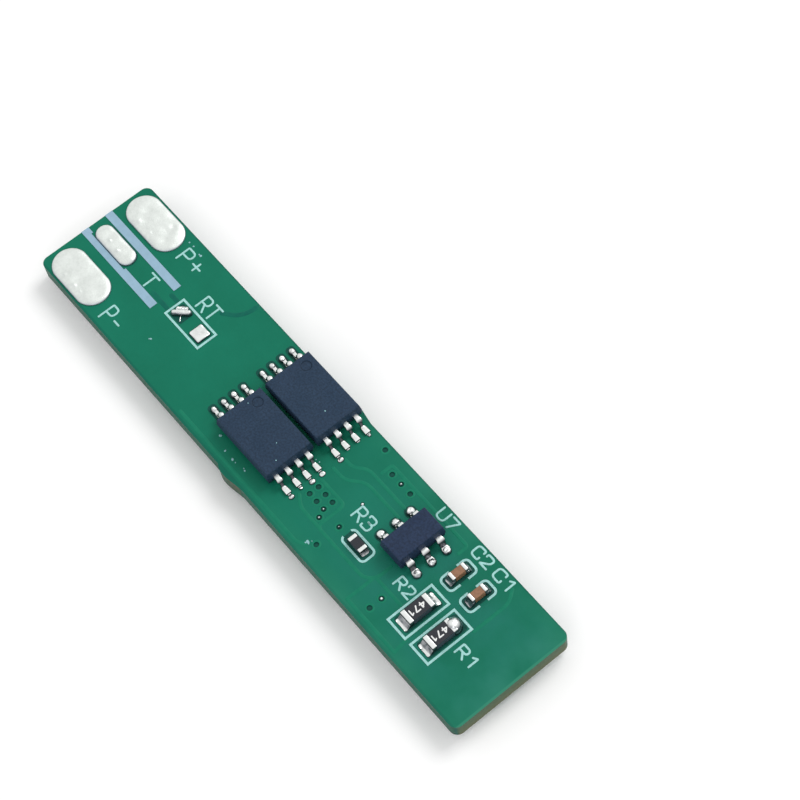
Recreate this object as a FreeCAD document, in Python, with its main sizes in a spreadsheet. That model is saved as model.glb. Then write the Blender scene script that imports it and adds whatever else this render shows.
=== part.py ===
import FreeCAD, Part
import math
import os
import re

import Sketcher

# A narrow circuit board that guards a rechargeable cell. Two eight-lead transistors in moulded
# packages and a six-lead control chip sit on its upper face with three chip resistors, two chip
# capacitors and the tinned lands for the load wires. Four nickel tabs, soldered to the
# underside, are what it stands on and what is welded to the cell.
#
# +X runs along the board from the output end to the component end, +Y across it towards the
# positive output, +Z up out of the component face. The origin is the middle of the board at the
# lower faces of the tabs. Every size is in millimetres or degrees.

SIZES = {
    "board_long": (35.0, "laminate, along X"),
    "board_wide": (7.25, "laminate, along Y"),
    "board_thick": (1.0, "laminate with its copper and mask"),
    "board_round": (0.45, "radius of the four corners"),
    "nib_out": (0.18, "how far a break-off nib stands out of a long edge"),
    "nib_long": (2.0, "break-off nib, along X"),
    "nib_steep": (0.35, "run of a nib's steep end, towards the output"),
    "nib_slant": (1.1, "run of a nib's other end"),
    "nib_round": (0.8, "radius that turns a nib's ends into its crest"),
    "near_nib_back": (0.4, "nib of the negative edge, from the board's middle to the output end"),
    "far_nib_ahead": (1.05, "nib of the positive edge, from the middle to the component end"),
    "via_radius": (0.15, "finished bore of a via"),
    "block_via_count": (3, "vias in a row of the block beside the transistors"),
    "block_via_row_count": (2, "rows in that block"),
    "block_via_pitch": (0.57, "spacing of that block's vias"),
    "chip_via_count": (3, "vias in the row beside the control chip"),
    "chip_via_row_count": (1, "rows there"),
    "chip_via_pitch": (0.72, "spacing of that row's vias"),
    "tab_long": (8.05, "nickel tab, along X"),
    "tab_wide": (2.02, "nickel tab, along Y"),
    "tab_thick": (0.4, "nickel tab, along Z"),
    "tab_round": (0.25, "radius of a tab's corners"),
    "land_long": (9.45, "tinned land under a tab, along X"),
    "land_wide": (2.05, "tinned land under a tab, along Y"),
    "land_thick": (0.1, "solder between a tab and the board"),
    "land_edge": (0.1, "board left bare between a land and the long edge"),
    "land_end": (0.15, "board left bare between a land and the short edge"),
    "pad_long": (4.1, "output land, along X"),
    "pad_wide": (2.05, "output land, along Y"),
    "pad_high": (0.2, "tinning on an output land"),
    "pad_bevel": (0.12, "slope of the tinning's rim"),
    "pad_end": (0.26, "board left bare between an output land and the short edge"),
    "pad_edge": (0.12, "board left bare between an output land and the long edge"),
    "sense_long": (3.05, "temperature land, along X"),
    "sense_wide": (1.08, "temperature land, along Y"),
    "sense_end": (0.445, "board left bare between the temperature land and the short edge"),
    "sense_aside": (0.065, "temperature land off the middle line"),
    "drop_long": (0.88, "bare solder drop of the thermistor place, along X"),
    "drop_wide": (0.84, "bare solder drop, along Y"),
    "drop_gap": (0.72, "clear space between the two drops"),
    "drop_high": (0.3, "the peaked drop"),
    "drop_low": (0.16, "the low drop"),
    "drop_peak": (0.12, "half the width of the peaked drop's top"),
    "rt_clear": (0.73, "between the white strips and the thermistor's outline"),
    "rt_aside": (0.19, "thermistor place off the middle line"),
    "ink_thick": (0.03, "white legend ink"),
    "ink_line": (0.125, "width of a legend line"),
    "strip_long": (6.38, "white strip beside the temperature land, along X"),
    "strip_wide": (0.48, "white strip, along Y"),
    "upper_strip_clear": (0.26, "between that strip and the positive output land"),
    "lower_strip_clear": (0.585, "between that strip and the negative output land"),
    "ring_round": (0.3, "corner radius of a small part's outline"),
    "ring_gap": (0.5, "break in a small part's outline"),
    "ring_end": (0.44, "outline beyond the ends of a small part"),
    "ring_beside": (0.25, "outline beyond the sides of a small part"),
    "wide_ring_end": (0.64, "outline beyond the ends of a long resistor"),
    "wide_ring_beside": (0.33, "outline beyond the sides of a long resistor"),
    "tssop_long": (4.4, "transistor package, along X"),
    "tssop_wide": (2.95, "transistor package, along Y"),
    "tssop_high": (0.95, "transistor package, along Z"),
    "tssop_span": (6.4, "from lead tip to lead tip"),
    "tssop_pitch": (0.65, "lead spacing"),
    "tssop_count": (4, "leads at each end"),
    "tssop_lead_wide": (0.24, "width of a lead"),
    "tssop_lead_thick": (0.14, "thickness of a lead"),
    "tssop_shoulder": (0.14, "straight run of a lead outside the package"),
    "tssop_slope": (66, "angle of a lead's leg, in degrees"),
    "tssop_land_wide": (0.4, "tinned land under a lead, along Y"),
    "transistor_back": (0.78, "transistors, from the board's middle to the output end"),
    "transistor_aside": (0.605, "the pair of transistors off the middle line"),
    "transistor_clear": (0.2, "between the two transistors' packages"),
    "sot_long": (1.62, "control chip, along X"),
    "sot_wide": (2.92, "control chip, along Y"),
    "sot_high": (1.0, "control chip, along Z"),
    "sot_span": (2.8, "from lead tip to lead tip"),
    "sot_pitch": (0.95, "lead spacing"),
    "sot_count": (3, "leads at each end"),
    "sot_lead_wide": (0.38, "width of a lead"),
    "sot_lead_thick": (0.14, "thickness of a lead"),
    "sot_shoulder": (0.1, "straight run of a lead outside the package"),
    "sot_slope": (72, "angle of a lead's leg, in degrees"),
    "sot_land_wide": (0.5, "tinned land under a lead, along Y"),
    "chip_clear": (0.59, "between the control chip's solder and the capacitors' outlines"),
    "chip_aside": (1.08, "control chip off the middle line"),
    "package_stand": (0.1, "air under a moulded package"),
    "package_draft": (9, "draft of a package's walls, in degrees"),
    "lead_entry": (0.15, "length of a lead held inside the package"),
    "lead_bend": (0.08, "inner radius of a lead's bends"),
    "dimple_radius": (0.33, "round mark by the first lead"),
    "dimple_deep": (0.08, "depth of that mark"),
    "dimple_in": (0.68, "centre of that mark from the package's end and side"),
    "solder_thick": (0.04, "solder under leads and chips"),
    "solder_toe": (0.3, "solder beyond the tip of a lead or chip"),
    "solder_brim": (0.06, "thin rim of that solder outside its slope"),
    "solder_climb": (0.6, "share of a chip's height that its solder climbs"),
    "solder_heel": (0.12, "solder behind the heel of a lead"),
    "solder_round": (0.14, "radius of a solder land's outer corners"),
    "long_chip_long": (1.6, "resistor of the larger size, along its length"),
    "long_chip_wide": (0.8, "resistor of the larger size"),
    "long_chip_high": (0.45, "resistor of the larger size"),
    "long_chip_cap": (0.3, "metal end of the larger resistor"),
    "resistor_end": (4.12, "the first resistor's centre from the component end"),
    "resistor_aside": (1.07, "the larger resistors off the middle line"),
    "resistor_clear": (0.28, "between the outlines of the two larger resistors"),
    "short_chip_long": (1.0, "resistor of the smaller size, along its length"),
    "short_chip_wide": (0.5, "resistor of the smaller size"),
    "short_chip_high": (0.35, "resistor of the smaller size"),
    "short_chip_cap": (0.22, "metal end of the smaller resistor"),
    "r3_back": (1.71, "smaller resistor's centre from the control chip's, along X"),
    "r3_clear": (0.22, "between the smaller resistor's outline and the control chip"),
    "capacitor_long": (1.0, "capacitor, along its length"),
    "capacitor_wide": (0.52, "capacitor"),
    "capacitor_high": (0.52, "capacitor"),
    "capacitor_cap": (0.25, "metal end of a capacitor"),
    "capacitor_end": (4.57, "the first capacitor's centre from the component end"),
    "capacitor_aside": (1.63, "capacitors off the middle line"),
    "capacitor_clear": (0.46, "between the outlines of the two capacitors"),
    "cap_thick": (0.035, "metal on the end of a chip"),
    "chip_margin": (0.06, "solder land beyond the side of a chip"),
    "blob_radius": (0.42, "round solder blob on one end of the first resistor"),
    "blob_high": (0.62, "height of that blob"),
}

# How far each tab was soldered off the middle of its land, along X and Y.
TAB_SHIFTS = {
    "b_minus": (-0.275, 0.135),
    "b_plus": (0.045, 0.005),
    "bm1": (-0.175, 0.075),
    "bm2": (-0.145, -0.075),
}

# Open vias: the sub-part that each goes with, and its place from that one's centre.
VIAS = {
    "supply_via": ("q1", 4.47, 1.05),
    "block_via": ("q2", 4.42, 0.1),
    "link_via": ("q2", 5.2, -0.63),
    "chip_via": ("u7", -2.92, 1.55),
    "limit_via": ("r3", -1.43, -0.07),
    "ground_via": ("r3", -1.43, -1.52),
    "upper_tap_via": ("r2", -1.74, -0.92),
    "lower_tap_via": ("r2", -1.74, -1.67),
}

# Centres of the sub-parts in the board's plane, from the board's middle.
CENTRES = {
    "p_plus_x": "pad_end + pad_long / 2 - board_long / 2",
    "p_plus_y": "board_wide / 2 - pad_edge - pad_wide / 2",
    "p_minus_x": "p_plus_x",
    "p_minus_y": "-p_plus_y",
    "sense_x": "sense_end + sense_long / 2 - board_long / 2",
    "sense_y": "sense_aside",
    "upper_strip_x": "strip_long / 2 - board_long / 2",
    "upper_strip_y": "p_plus_y - pad_wide / 2 - upper_strip_clear - strip_wide / 2",
    "lower_strip_x": "upper_strip_x",
    "lower_strip_y": "p_minus_y + pad_wide / 2 + lower_strip_clear + strip_wide / 2",
    "rt_x": "strip_long + rt_clear + ring_beside + drop_long + drop_gap / 2 - board_long / 2",
    "rt_y": "rt_aside",
    "q1_x": "-transistor_back",
    "q1_y": "transistor_aside + (tssop_wide + transistor_clear) / 2",
    "q2_x": "q1_x",
    "q2_y": "transistor_aside - (tssop_wide + transistor_clear) / 2",
    "r1_x": "board_long / 2 - resistor_end",
    "r1_y": "-resistor_aside",
    "r2_x": "r1_x - long_chip_wide - 2 * wide_ring_beside - resistor_clear",
    "r2_y": "r1_y",
    "c1_x": "board_long / 2 - capacitor_end",
    "c1_y": "capacitor_aside",
    "c2_x": "c1_x - capacitor_wide - 2 * ring_beside - capacitor_clear",
    "c2_y": "c1_y",
    "u7_x": "c2_x - capacitor_wide / 2 - ring_beside - chip_clear - solder_toe - sot_span / 2",
    "u7_y": "chip_aside",
    "r3_x": "u7_x - r3_back",
    "r3_y": "u7_y - sot_wide / 2 - r3_clear - ring_beside - short_chip_wide / 2",
    "near_nib_x": "-near_nib_back",
    "far_nib_x": "far_nib_ahead",
}

for name, (shift_x, shift_y) in TAB_SHIFTS.items():
    SIZES[f"{name}_shift_x"] = (shift_x, f"{name} tab off the middle of its land, along X")
    SIZES[f"{name}_shift_y"] = (shift_y, f"{name} tab off the middle of its land, along Y")
for name, (carrier, away_x, away_y) in VIAS.items():
    SIZES[f"{name}_away_x"] = (away_x, f"{name} from the centre of {carrier}, along X")
    SIZES[f"{name}_away_y"] = (away_y, f"{name} from the centre of {carrier}, along Y")
    for axis in ("x", "y"):
        CENTRES[f"{name}_{axis}"] = f"{carrier}_{axis} + {name}_away_{axis}"

doc = FreeCAD.newDocument("battery_board")
sheet = doc.addObject("Spreadsheet::Sheet", "Sizes")
for row, (alias, (value, meaning)) in enumerate(SIZES.items(), start=1):
    sheet.set(f"A{row}", meaning)
    sheet.set(f"B{row}", str(value))
    sheet.setAlias(f"B{row}", alias)
doc.recompute()

UNDERSIDE = "tab_thick + land_thick"
TOP_FACE = "tab_thick + land_thick + board_thick"

NODES = []


def sized(formula):
    """The formula with each size read from the sheet and each centre written out."""
    def resolve(word):
        if word[0] in CENTRES:
            return f"({sized(CENTRES[word[0]])})"
        return f"Sizes.{word[0]}" if word[0] in SIZES else word[0]

    return re.sub(r"[a-z]\w*", resolve, formula)


def number(formula):
    """What the formula comes to now."""
    return float(sheet.evalExpression(sized(formula)))


def bind(item, path, formula):
    """Tie one property of an item to a formula on the sheet."""
    item.setExpression(path, sized(formula))


def new_body(label, place=None, z=TOP_FACE, turn=0):
    """An empty sub-part at a named place on the board, turned about Z by so many degrees."""
    body = doc.addObject("PartDesign::Body", label)
    body.Label = label
    body.AllowCompound = True
    body.Placement = FreeCAD.Placement(FreeCAD.Vector(), FreeCAD.Rotation(FreeCAD.Vector(0, 0, 1), turn))
    if place:
        bind(body, "Placement.Base.x", f"{place}_x")
        bind(body, "Placement.Base.y", f"{place}_y")
    bind(body, "Placement.Base.z", z)
    NODES.append(body)
    return body


def origin_item(body, role):
    """One of a body's own origin planes or axes."""
    return next(item for item in body.Origin.OriginFeatures if item.Role == role)


def new_sketch(body, name, plane="XY_Plane", lift="0"):
    """A sketch on one of the body's own planes, moved along that plane's normal."""
    sketch = body.newObject("Sketcher::SketchObject", f"{body.Name}_{name}")
    sketch.AttachmentSupport = [(origin_item(body, plane), "")]
    sketch.MapMode = "FlatFace"
    bind(sketch, "AttachmentOffset.Base.z", lift)
    return sketch


def measure(sketch, kind, places, formula):
    """A dimension in the sketch, tied to its formula."""
    index = sketch.addConstraint(Sketcher.Constraint(kind, *places, number(formula)))
    bind(sketch, f"Constraints[{index}]", formula)


def pin_down(sketch, item, end, x, y):
    """Fix one point of a sketch item by its two coordinates."""
    measure(sketch, "DistanceX", (-1, 1, item, end), x)
    measure(sketch, "DistanceY", (-1, 1, item, end), y)


def outline(sketch, corners):
    """A closed outline through corners (x, y) or (x, y, radius), the last kind rounded.

    Each rounded corner keeps its sharp point, which both neighbouring lines are tied to.
    """
    points = [FreeCAD.Vector(number(corner[0]), number(corner[1]), 0) for corner in corners]
    count = len(points)
    starts = list(points)
    ends = list(points)
    arcs = {}
    for index, corner in enumerate(corners):
        if len(corner) == 2:
            continue
        radius = number(corner[2])
        back = (points[index - 1] - points[index]).normalize()
        ahead = (points[(index + 1) % count] - points[index]).normalize()
        half = back.getAngle(ahead) / 2
        centre = points[index] + (back + ahead).normalize() * (radius / math.sin(half))
        ends[index] = points[index] + back * (radius / math.tan(half))
        starts[index] = points[index] + ahead * (radius / math.tan(half))
        left = back.cross(ahead).z < 0
        first, last = (ends[index], starts[index]) if left else (starts[index], ends[index])
        angles = [math.atan2(point.y - centre.y, point.x - centre.x) for point in (first, last)]
        circle = Part.Circle(centre, FreeCAD.Vector(0, 0, 1), radius)
        arcs[index] = (sketch.addGeometry(Part.ArcOfCircle(circle, *angles), False), left)
    lines = [
        sketch.addGeometry(Part.LineSegment(starts[index], ends[(index + 1) % count]), False)
        for index in range(count)
    ]
    for index, corner in enumerate(corners):
        before, after = lines[index - 1], lines[index]
        if index not in arcs:
            sketch.addConstraint(Sketcher.Constraint("Coincident", before, 2, after, 1))
            pin_down(sketch, after, 1, corner[0], corner[1])
            continue
        arc, left = arcs[index]
        sharp = sketch.addGeometry(Part.Point(points[index]), True)
        pin_down(sketch, sharp, 1, corner[0], corner[1])
        sketch.addConstraint(
            [
                Sketcher.Constraint("PointOnObject", sharp, 1, before),
                Sketcher.Constraint("PointOnObject", sharp, 1, after),
                Sketcher.Constraint("Tangent", before, 2, arc, 1 if left else 2),
                Sketcher.Constraint("Tangent", after, 1, arc, 2 if left else 1),
            ]
        )
        measure(sketch, "Radius", (arc,), corner[2])


def box_outline(sketch, x, y, half_long, half_wide, radius=None):
    """A rectangle about (x, y), with rounded corners where a radius is given."""
    extra = (radius,) if radius else ()
    signs = (("-", "-"), ("+", "-"), ("+", "+"), ("-", "+"))
    outline(sketch, [(f"{x} {a} ({half_long})", f"{y} {b} ({half_wide})", *extra) for a, b in signs])


def circle(sketch, x, y, radius):
    """A circle about (x, y)."""
    spot = FreeCAD.Vector(number(x), number(y), 0)
    item = sketch.addGeometry(Part.Circle(spot, FreeCAD.Vector(0, 0, 1), number(radius)), False)
    pin_down(sketch, item, 3, x, y)
    measure(sketch, "Radius", (item,), radius)


def stadium(sketch, long, wide):
    """Two half circles joined by straight sides along X, about the sketch's origin."""
    reach = number(f"({long} - {wide}) / 2")
    radius = number(f"{wide} / 2")
    up = FreeCAD.Vector(0, 0, 1)
    ends = []
    for side, first in ((1, -math.pi / 2), (-1, math.pi / 2)):
        ring = Part.Circle(FreeCAD.Vector(side * reach, 0, 0), up, radius)
        ends.append(sketch.addGeometry(Part.ArcOfCircle(ring, first, first + math.pi), False))
    for side, right, left in ((1, 2, 1), (-1, 1, 2)):
        tips = [FreeCAD.Vector(way * reach, side * radius, 0) for way in (1, -1)]
        line = sketch.addGeometry(Part.LineSegment(*tips), False)
        sketch.addConstraint(Sketcher.Constraint("Tangent", ends[0], right, line, 1))
        sketch.addConstraint(Sketcher.Constraint("Tangent", line, 2, ends[1], left))
    for end, sign in zip(ends, ("", "-")):
        pin_down(sketch, end, 3, f"{sign}({long} - {wide}) / 2", "0")
        measure(sketch, "Radius", (end,), f"{wide} / 2")


def pad(body, sketch, length, symmetric=False, down=False, taper=None):
    """Material added from a sketch, up along its normal unless it is told otherwise."""
    feature = body.newObject("PartDesign::Pad", f"{sketch.Name}_pad")
    feature.Profile = sketch
    feature.SideType = "Symmetric" if symmetric else "One side"
    feature.Reversed = down
    bind(feature, "Length", length)
    if taper:
        bind(feature, "TaperAngle", taper)
    body.Tip = feature
    return feature


def pocket(body, sketch, length=None, symmetric=False, up=False):
    """Material taken away from a sketch: downwards, upwards, both ways or right through."""
    feature = body.newObject("PartDesign::Pocket", f"{sketch.Name}_pocket")
    feature.Profile = sketch
    feature.SideType = "Symmetric" if symmetric else "One side"
    feature.Reversed = up
    if length:
        bind(feature, "Length", length)
    else:
        feature.Type = "ThroughAll"
    body.Tip = feature
    return feature


def repeat(body, features, pitch, count):
    """The features again along Y, a pitch apart."""
    pattern = body.newObject("PartDesign::LinearPattern", f"{features[0].Name}_row")
    pattern.Originals = features
    pattern.Direction = (origin_item(body, "Y_Axis"), [""])
    pattern.Mode = "Spacing"
    bind(pattern, "Offset", pitch)
    bind(pattern, "Occurrences", count)
    body.Tip = pattern


def bevel_rim(body, feature, height, slope):
    """A sloping rim along the edges that lie at one height."""
    doc.recompute()
    level = number(height)
    rim = [
        f"Edge{index}"
        for index, edge in enumerate(feature.Shape.Edges, start=1)
        if abs(edge.BoundBox.ZMin - level) < 1e-6 and abs(edge.BoundBox.ZMax - level) < 1e-6
    ]
    chamfer = body.newObject("PartDesign::Chamfer", f"{feature.Name}_rim")
    chamfer.Base = (feature, rim)
    bind(chamfer, "Size", slope)
    body.Tip = chamfer


def make_board():
    """The laminate: rounded corners, a break-off nib on each long edge and the vias."""
    body = new_body("board", z=UNDERSIDE)
    edge = "board_wide / 2"
    end = "board_long / 2"
    corners = []
    for side, nib, way in (("-", "near_nib", 1), ("", "far_nib", -1)):
        root, tip = f"{side}({edge})", f"{side}({edge} + nib_out)"
        along = [
            (f"-({end})", root, "board_round"),
            (f"{nib}_x - nib_long / 2", root),
            (f"{nib}_x - nib_long / 2 + nib_steep", tip, "nib_round"),
            (f"{nib}_x + nib_long / 2 - nib_slant", tip, "nib_round"),
            (f"{nib}_x + nib_long / 2", root),
            (end, root, "board_round"),
        ]
        corners += along[::way]
    sketch = new_sketch(body, "outline")
    outline(sketch, corners)
    pad(body, sketch, "board_thick")
    holes = new_sketch(body, "vias", lift="board_thick")
    for name in VIAS:
        block = f"{name}_count" in SIZES
        columns, rows = (int(number(f"{name}{kind}_count")) if block else 1 for kind in ("", "_row"))
        for column in range(columns):
            for line in range(rows):
                ahead, aside = column - (columns - 1) / 2, line - (rows - 1) / 2
                x = f"{name}_x + {ahead} * {name}_pitch" if block else f"{name}_x"
                y = f"{name}_y + {aside} * {name}_pitch" if block else f"{name}_y"
                circle(holes, x, y, "via_radius")
    pocket(body, holes)


def make_tinned_land(label, place, long, wide):
    """A land for a wire, tinned to a low cushion with a sloping rim."""
    body = new_body(label, place)
    sketch = new_sketch(body, "outline")
    stadium(sketch, long, wide)
    feature = pad(body, sketch, "pad_high")
    bevel_rim(body, feature, "pad_high", "pad_bevel")


def make_drops():
    """The two bare solder drops of the empty thermistor place, one drawn up to a peak."""
    body = new_body("rt_solder", "rt")
    apart = "(drop_gap + drop_long) / 2"
    base = new_sketch(body, "peak_base")
    box_outline(base, f"-{apart}", "0", "drop_long / 2", "drop_wide / 2")
    top = new_sketch(body, "peak_top", lift="drop_high")
    box_outline(top, f"-{apart}", "0", "drop_peak", "drop_peak")
    loft = body.newObject("PartDesign::AdditiveLoft", "peak")
    loft.Profile = base
    loft.Sections = [top]
    loft.Ruled = True
    body.Tip = loft
    low = new_sketch(body, "low_base")
    box_outline(low, apart, "0", "drop_long / 2", "drop_wide / 2")
    feature = pad(body, low, "drop_low")
    bevel_rim(body, feature, "drop_low", "drop_low / 2")


def make_strips():
    """Two white strips printed between the output lands and the temperature land."""
    body = new_body("legend_strips")
    sketch = new_sketch(body, "outline")
    for name in ("upper_strip", "lower_strip"):
        box_outline(sketch, f"{name}_x", f"{name}_y", "strip_long / 2", "strip_wide / 2")
    pad(body, sketch, "ink_thick")
    clear = new_sketch(body, "land")
    box_outline(clear, "sense_x", "sense_y", "sense_long / 2", "sense_wide / 2 + ink_thick")
    pocket(body, clear, "ink_thick", up=True)


def make_rings():
    """The printed outlines round the small parts; the smallest are broken at mid length."""
    body = new_body("part_outlines")
    gaps = []
    rings = (
        ("rt", "drop_long + drop_gap / 2", "drop_wide / 2", "ring_beside", "ring_beside", None, None),
        ("r1", "long_chip_wide / 2", "long_chip_long / 2", "wide_ring_beside", "wide_ring_end", None, None),
        ("r2", "long_chip_wide / 2", "long_chip_long / 2", "wide_ring_beside", "wide_ring_end", None, None),
        ("r3", "short_chip_long / 2", "short_chip_wide / 2", "ring_end", "ring_beside", "ring_round", "left"),
        ("c1", "capacitor_wide / 2", "capacitor_long / 2", "ring_beside", "ring_end", "ring_round", "both"),
        ("c2", "capacitor_wide / 2", "capacitor_long / 2", "ring_beside", "ring_end", "ring_round", "both"),
    )
    for name, half_long, half_wide, more_x, more_y, radius, gap in rings:
        x, y = f"{name}_x", f"{name}_y"
        sketch = new_sketch(body, name)
        box_outline(sketch, x, y, f"{half_long} + {more_x}", f"{half_wide} + {more_y}", radius)
        inner = f"{radius} - ink_line" if radius else None
        reach = f"{half_long} + {more_x} - ink_line"
        box_outline(sketch, x, y, reach, f"{half_wide} + {more_y} - ink_line", inner)
        pad(body, sketch, "ink_thick")
        sides = {"both": ("-", "+"), "left": ("-",), None: ()}[gap]
        gaps += [(f"{x} {side} ({reach} + ink_line / 2)", y) for side in sides]
    breaks = new_sketch(body, "breaks")
    for gap_x, gap_y in gaps:
        box_outline(breaks, gap_x, gap_y, "ink_line", "ring_gap / 2")
    pocket(body, breaks, "ink_thick", up=True)


def first_row(kind):
    """The Y place of the first lead at either end of a package."""
    return f"-({kind}_count - 1) / 2 * {kind}_pitch"


def exit_height(kind):
    """How high the leads leave the package: the middle of its wall."""
    return f"package_stand + {kind}_high / 2"


def ankle(kind):
    """Where the leg of a lead turns into its foot, along X."""
    foot = f"solder_thick + {kind}_lead_thick / 2"
    drop = f"({exit_height(kind)} - ({foot}))"
    return f"{kind}_long / 2 + {kind}_shoulder + {drop} / tan({kind}_slope * 1 deg)"


def make_package(label, place, kind, marked):
    """A moulded package: walls that draw in above and below the leads, and a slot for each lead."""
    body = new_body(label, place)
    half = f"{kind}_long / 2", f"{kind}_wide / 2"
    for name, down in (("upper", False), ("lower", True)):
        sketch = new_sketch(body, name, lift=exit_height(kind))
        box_outline(sketch, "0", "0", *half)
        pad(body, sketch, f"{kind}_high / 2", down=down, taper="-package_draft")
    slots = new_sketch(body, "slots", lift=f"{exit_height(kind)} - {kind}_lead_thick / 2")
    for side in ("-", "+"):
        wall = f"0 {side} {kind}_long / 2"
        box_outline(slots, wall, first_row(kind), "lead_entry", f"{kind}_lead_wide / 2")
    cut = pocket(body, slots, f"{kind}_lead_thick", up=True)
    repeat(body, [cut], f"{kind}_pitch", f"{kind}_count")
    if marked:
        mark = new_sketch(body, "mark", lift=f"package_stand + {kind}_high")
        circle(mark, f"dimple_in - {kind}_long / 2", f"{kind}_wide / 2 - dimple_in", "dimple_radius")
        pocket(body, mark, "dimple_deep")


def make_leads(label, place, kind):
    """Gull-wing leads: out of the wall, over a bend, down the leg and out along the foot.

    Both faces of the strip turn at points set off from its middle line by half its thickness
    and by that times the tangent of half the turn, so the strip keeps its thickness.
    """
    body = new_body(label, place)
    half = f"{kind}_lead_thick / 2"
    aside = f"{half} * tan({kind}_slope * 0.5 deg)"
    root, knee = f"{kind}_long / 2 - lead_entry", f"{kind}_long / 2 + {kind}_shoulder"
    heel, tip = ankle(kind), f"{kind}_span / 2"
    high, low = exit_height(kind), f"solder_thick + {half}"
    outer = f"lead_bend + {kind}_lead_thick"
    corners = [
        (root, f"{high} - {half}"),
        (f"{knee} - {aside}", f"{high} - {half}", "lead_bend"),
        (f"{heel} - {aside}", f"{low} - {half}", outer),
        (tip, f"{low} - {half}"),
        (tip, f"{low} + {half}"),
        (f"{heel} + {aside}", f"{low} + {half}", "lead_bend"),
        (f"{knee} + {aside}", f"{high} + {half}", outer),
        (root, f"{high} + {half}"),
    ]
    # The plane of this sketch faces -Y, so its lift is the first row's place with the sign turned.
    sketch = new_sketch(body, "wings", "XZ_Plane", lift=f"-({first_row(kind)})")
    for sign in ("", "-"):
        outline(sketch, [(f"{sign}({corner[0]})", *corner[1:]) for corner in corners])
    wings = pad(body, sketch, f"{kind}_lead_wide", symmetric=True)
    repeat(body, [wings], f"{kind}_pitch", f"{kind}_count")


def make_solder(label, place, tip, inner, width, rise, row="0", pitch=None, count=None, turn=0, blob=None):
    """Solder at both ends of a part: a thin layer under it that climbs against its tip.

    The lands are raised as blocks, and one cut across all of them leaves the layer and the toe.
    """
    body = new_body(label, place, turn=turn)
    sketch = new_sketch(body, "lands")
    outer = f"{tip} + solder_toe"
    low, high = f"{row} - {width} / 2", f"{row} + {width} / 2"
    for sign in ("", "-"):
        far, near = f"{sign}({outer})", f"{sign}({inner})"
        rounded = [(far, low, "solder_round"), (far, high, "solder_round")]
        outline(sketch, [(near, low), *rounded, (near, high)])
    blocks = pad(body, sketch, f"solder_thick + {rise}")
    if count:
        repeat(body, [blocks], pitch, count)
    crest = f"solder_thick + {rise}"
    beyond = f"{outer} + solder_toe"
    right = [
        (tip, "solder_thick"),
        (tip, crest),
        (f"{outer} - solder_brim", "solder_thick"),
        (beyond, "solder_thick"),
        (beyond, f"2 * ({crest})"),
    ]
    left = [(f"-({corner[0]})", *corner[1:]) for corner in reversed(right)]
    cut = new_sketch(body, "toes", "XZ_Plane")
    outline(cut, right + left)
    pocket(body, cut, symmetric=True)
    if blob:
        add_blob(body, tip, width, *blob)


def add_blob(body, tip, width, height, chip_wide):
    """A round blob of solder over one end, hollowed where the chip's end stands in it."""
    dome = body.newObject("PartDesign::AdditiveEllipsoid", f"{body.Name}_dome")
    dome.AttachmentSupport = [(origin_item(body, "XY_Plane"), "")]
    dome.MapMode = "FlatFace"
    bind(dome, "AttachmentOffset.Base.x", tip)
    bind(dome, "Radius1", "blob_high")
    bind(dome, "Radius2", "blob_radius")
    bind(dome, "Radius3", "blob_radius")
    dome.Angle1 = 0
    body.Tip = dome
    room = new_sketch(body, "room", lift="solder_thick")
    box_outline(room, "0", "0", tip, f"{chip_wide} / 2")
    pocket(body, room, height, up=True)


def make_chip(name, kind, core, wraps, turn, blob=False):
    """A ceramic chip: its core, its two metal ends and the solder that holds them.

    A capacitor's ends wrap its four sides and stand proud of the core. A resistor's ends wrap
    its top and bottom alone, and a black coat covers the top between them.
    """
    reach = f"{kind}_long / 2"
    level = "solder_thick"
    tall = f"{kind}_high - 2 * cap_thick"
    wide = f"{kind}_wide - 2 * cap_thick" if wraps else f"{kind}_wide"
    body = new_body(core, name, turn=turn)
    sketch = new_sketch(body, "outline", lift=f"{level} + cap_thick")
    box_outline(sketch, "0", "0", f"{reach} - cap_thick", f"({wide}) / 2")
    pad(body, sketch, tall)

    body = new_body(f"{name}_terminals", name, turn=turn)
    sketch = new_sketch(body, "ends", lift=level)
    for side in ("-", "+"):
        middle = f"0 {side} ({reach} - {kind}_cap / 2)"
        box_outline(sketch, middle, "0", f"{kind}_cap / 2", f"{kind}_wide / 2")
    pad(body, sketch, f"{kind}_high")
    room = new_sketch(body, "room", "XZ_Plane")
    height = f"{level} + {kind}_high / 2"
    box_outline(room, "0", height, f"{reach} - cap_thick", f"({tall}) / 2")
    pocket(body, room, wide, symmetric=True)

    if not wraps:
        body = new_body(f"{name}_coat", name, turn=turn)
        sketch = new_sketch(body, "outline", lift=f"{level} + {kind}_high - cap_thick")
        box_outline(sketch, "0", "0", f"{reach} - {kind}_cap", f"{kind}_wide / 2")
        pad(body, sketch, "cap_thick")

    make_solder(
        f"{name}_solder",
        name,
        tip=reach,
        inner=f"{reach} - {kind}_cap",
        width=f"({kind}_wide + 2 * chip_margin)",
        rise=f"{kind}_high * solder_climb",
        turn=turn,
        blob=(f"{kind}_high", f"{kind}_wide") if blob else None,
    )


def make_tab(name, end, side):
    """A nickel tab and the tinned land that it is soldered to, under one corner of the board."""
    x = f"0 {end} (board_long / 2 - land_end - land_long / 2)"
    y = f"0 {side} (board_wide / 2 - land_edge - land_wide / 2)"
    tab = new_body(f"{name}_tab", z="0")
    sketch = new_sketch(tab, "outline")
    spot = f"{x} + {name}_shift_x", f"{y} + {name}_shift_y"
    box_outline(sketch, *spot, "tab_long / 2", "tab_wide / 2", "tab_round")
    pad(tab, sketch, "tab_thick")
    land = new_body(f"{name}_solder", z="tab_thick")
    sketch = new_sketch(land, "outline")
    box_outline(sketch, x, y, "land_long / 2", "land_wide / 2")
    pad(land, sketch, "land_thick")


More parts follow.
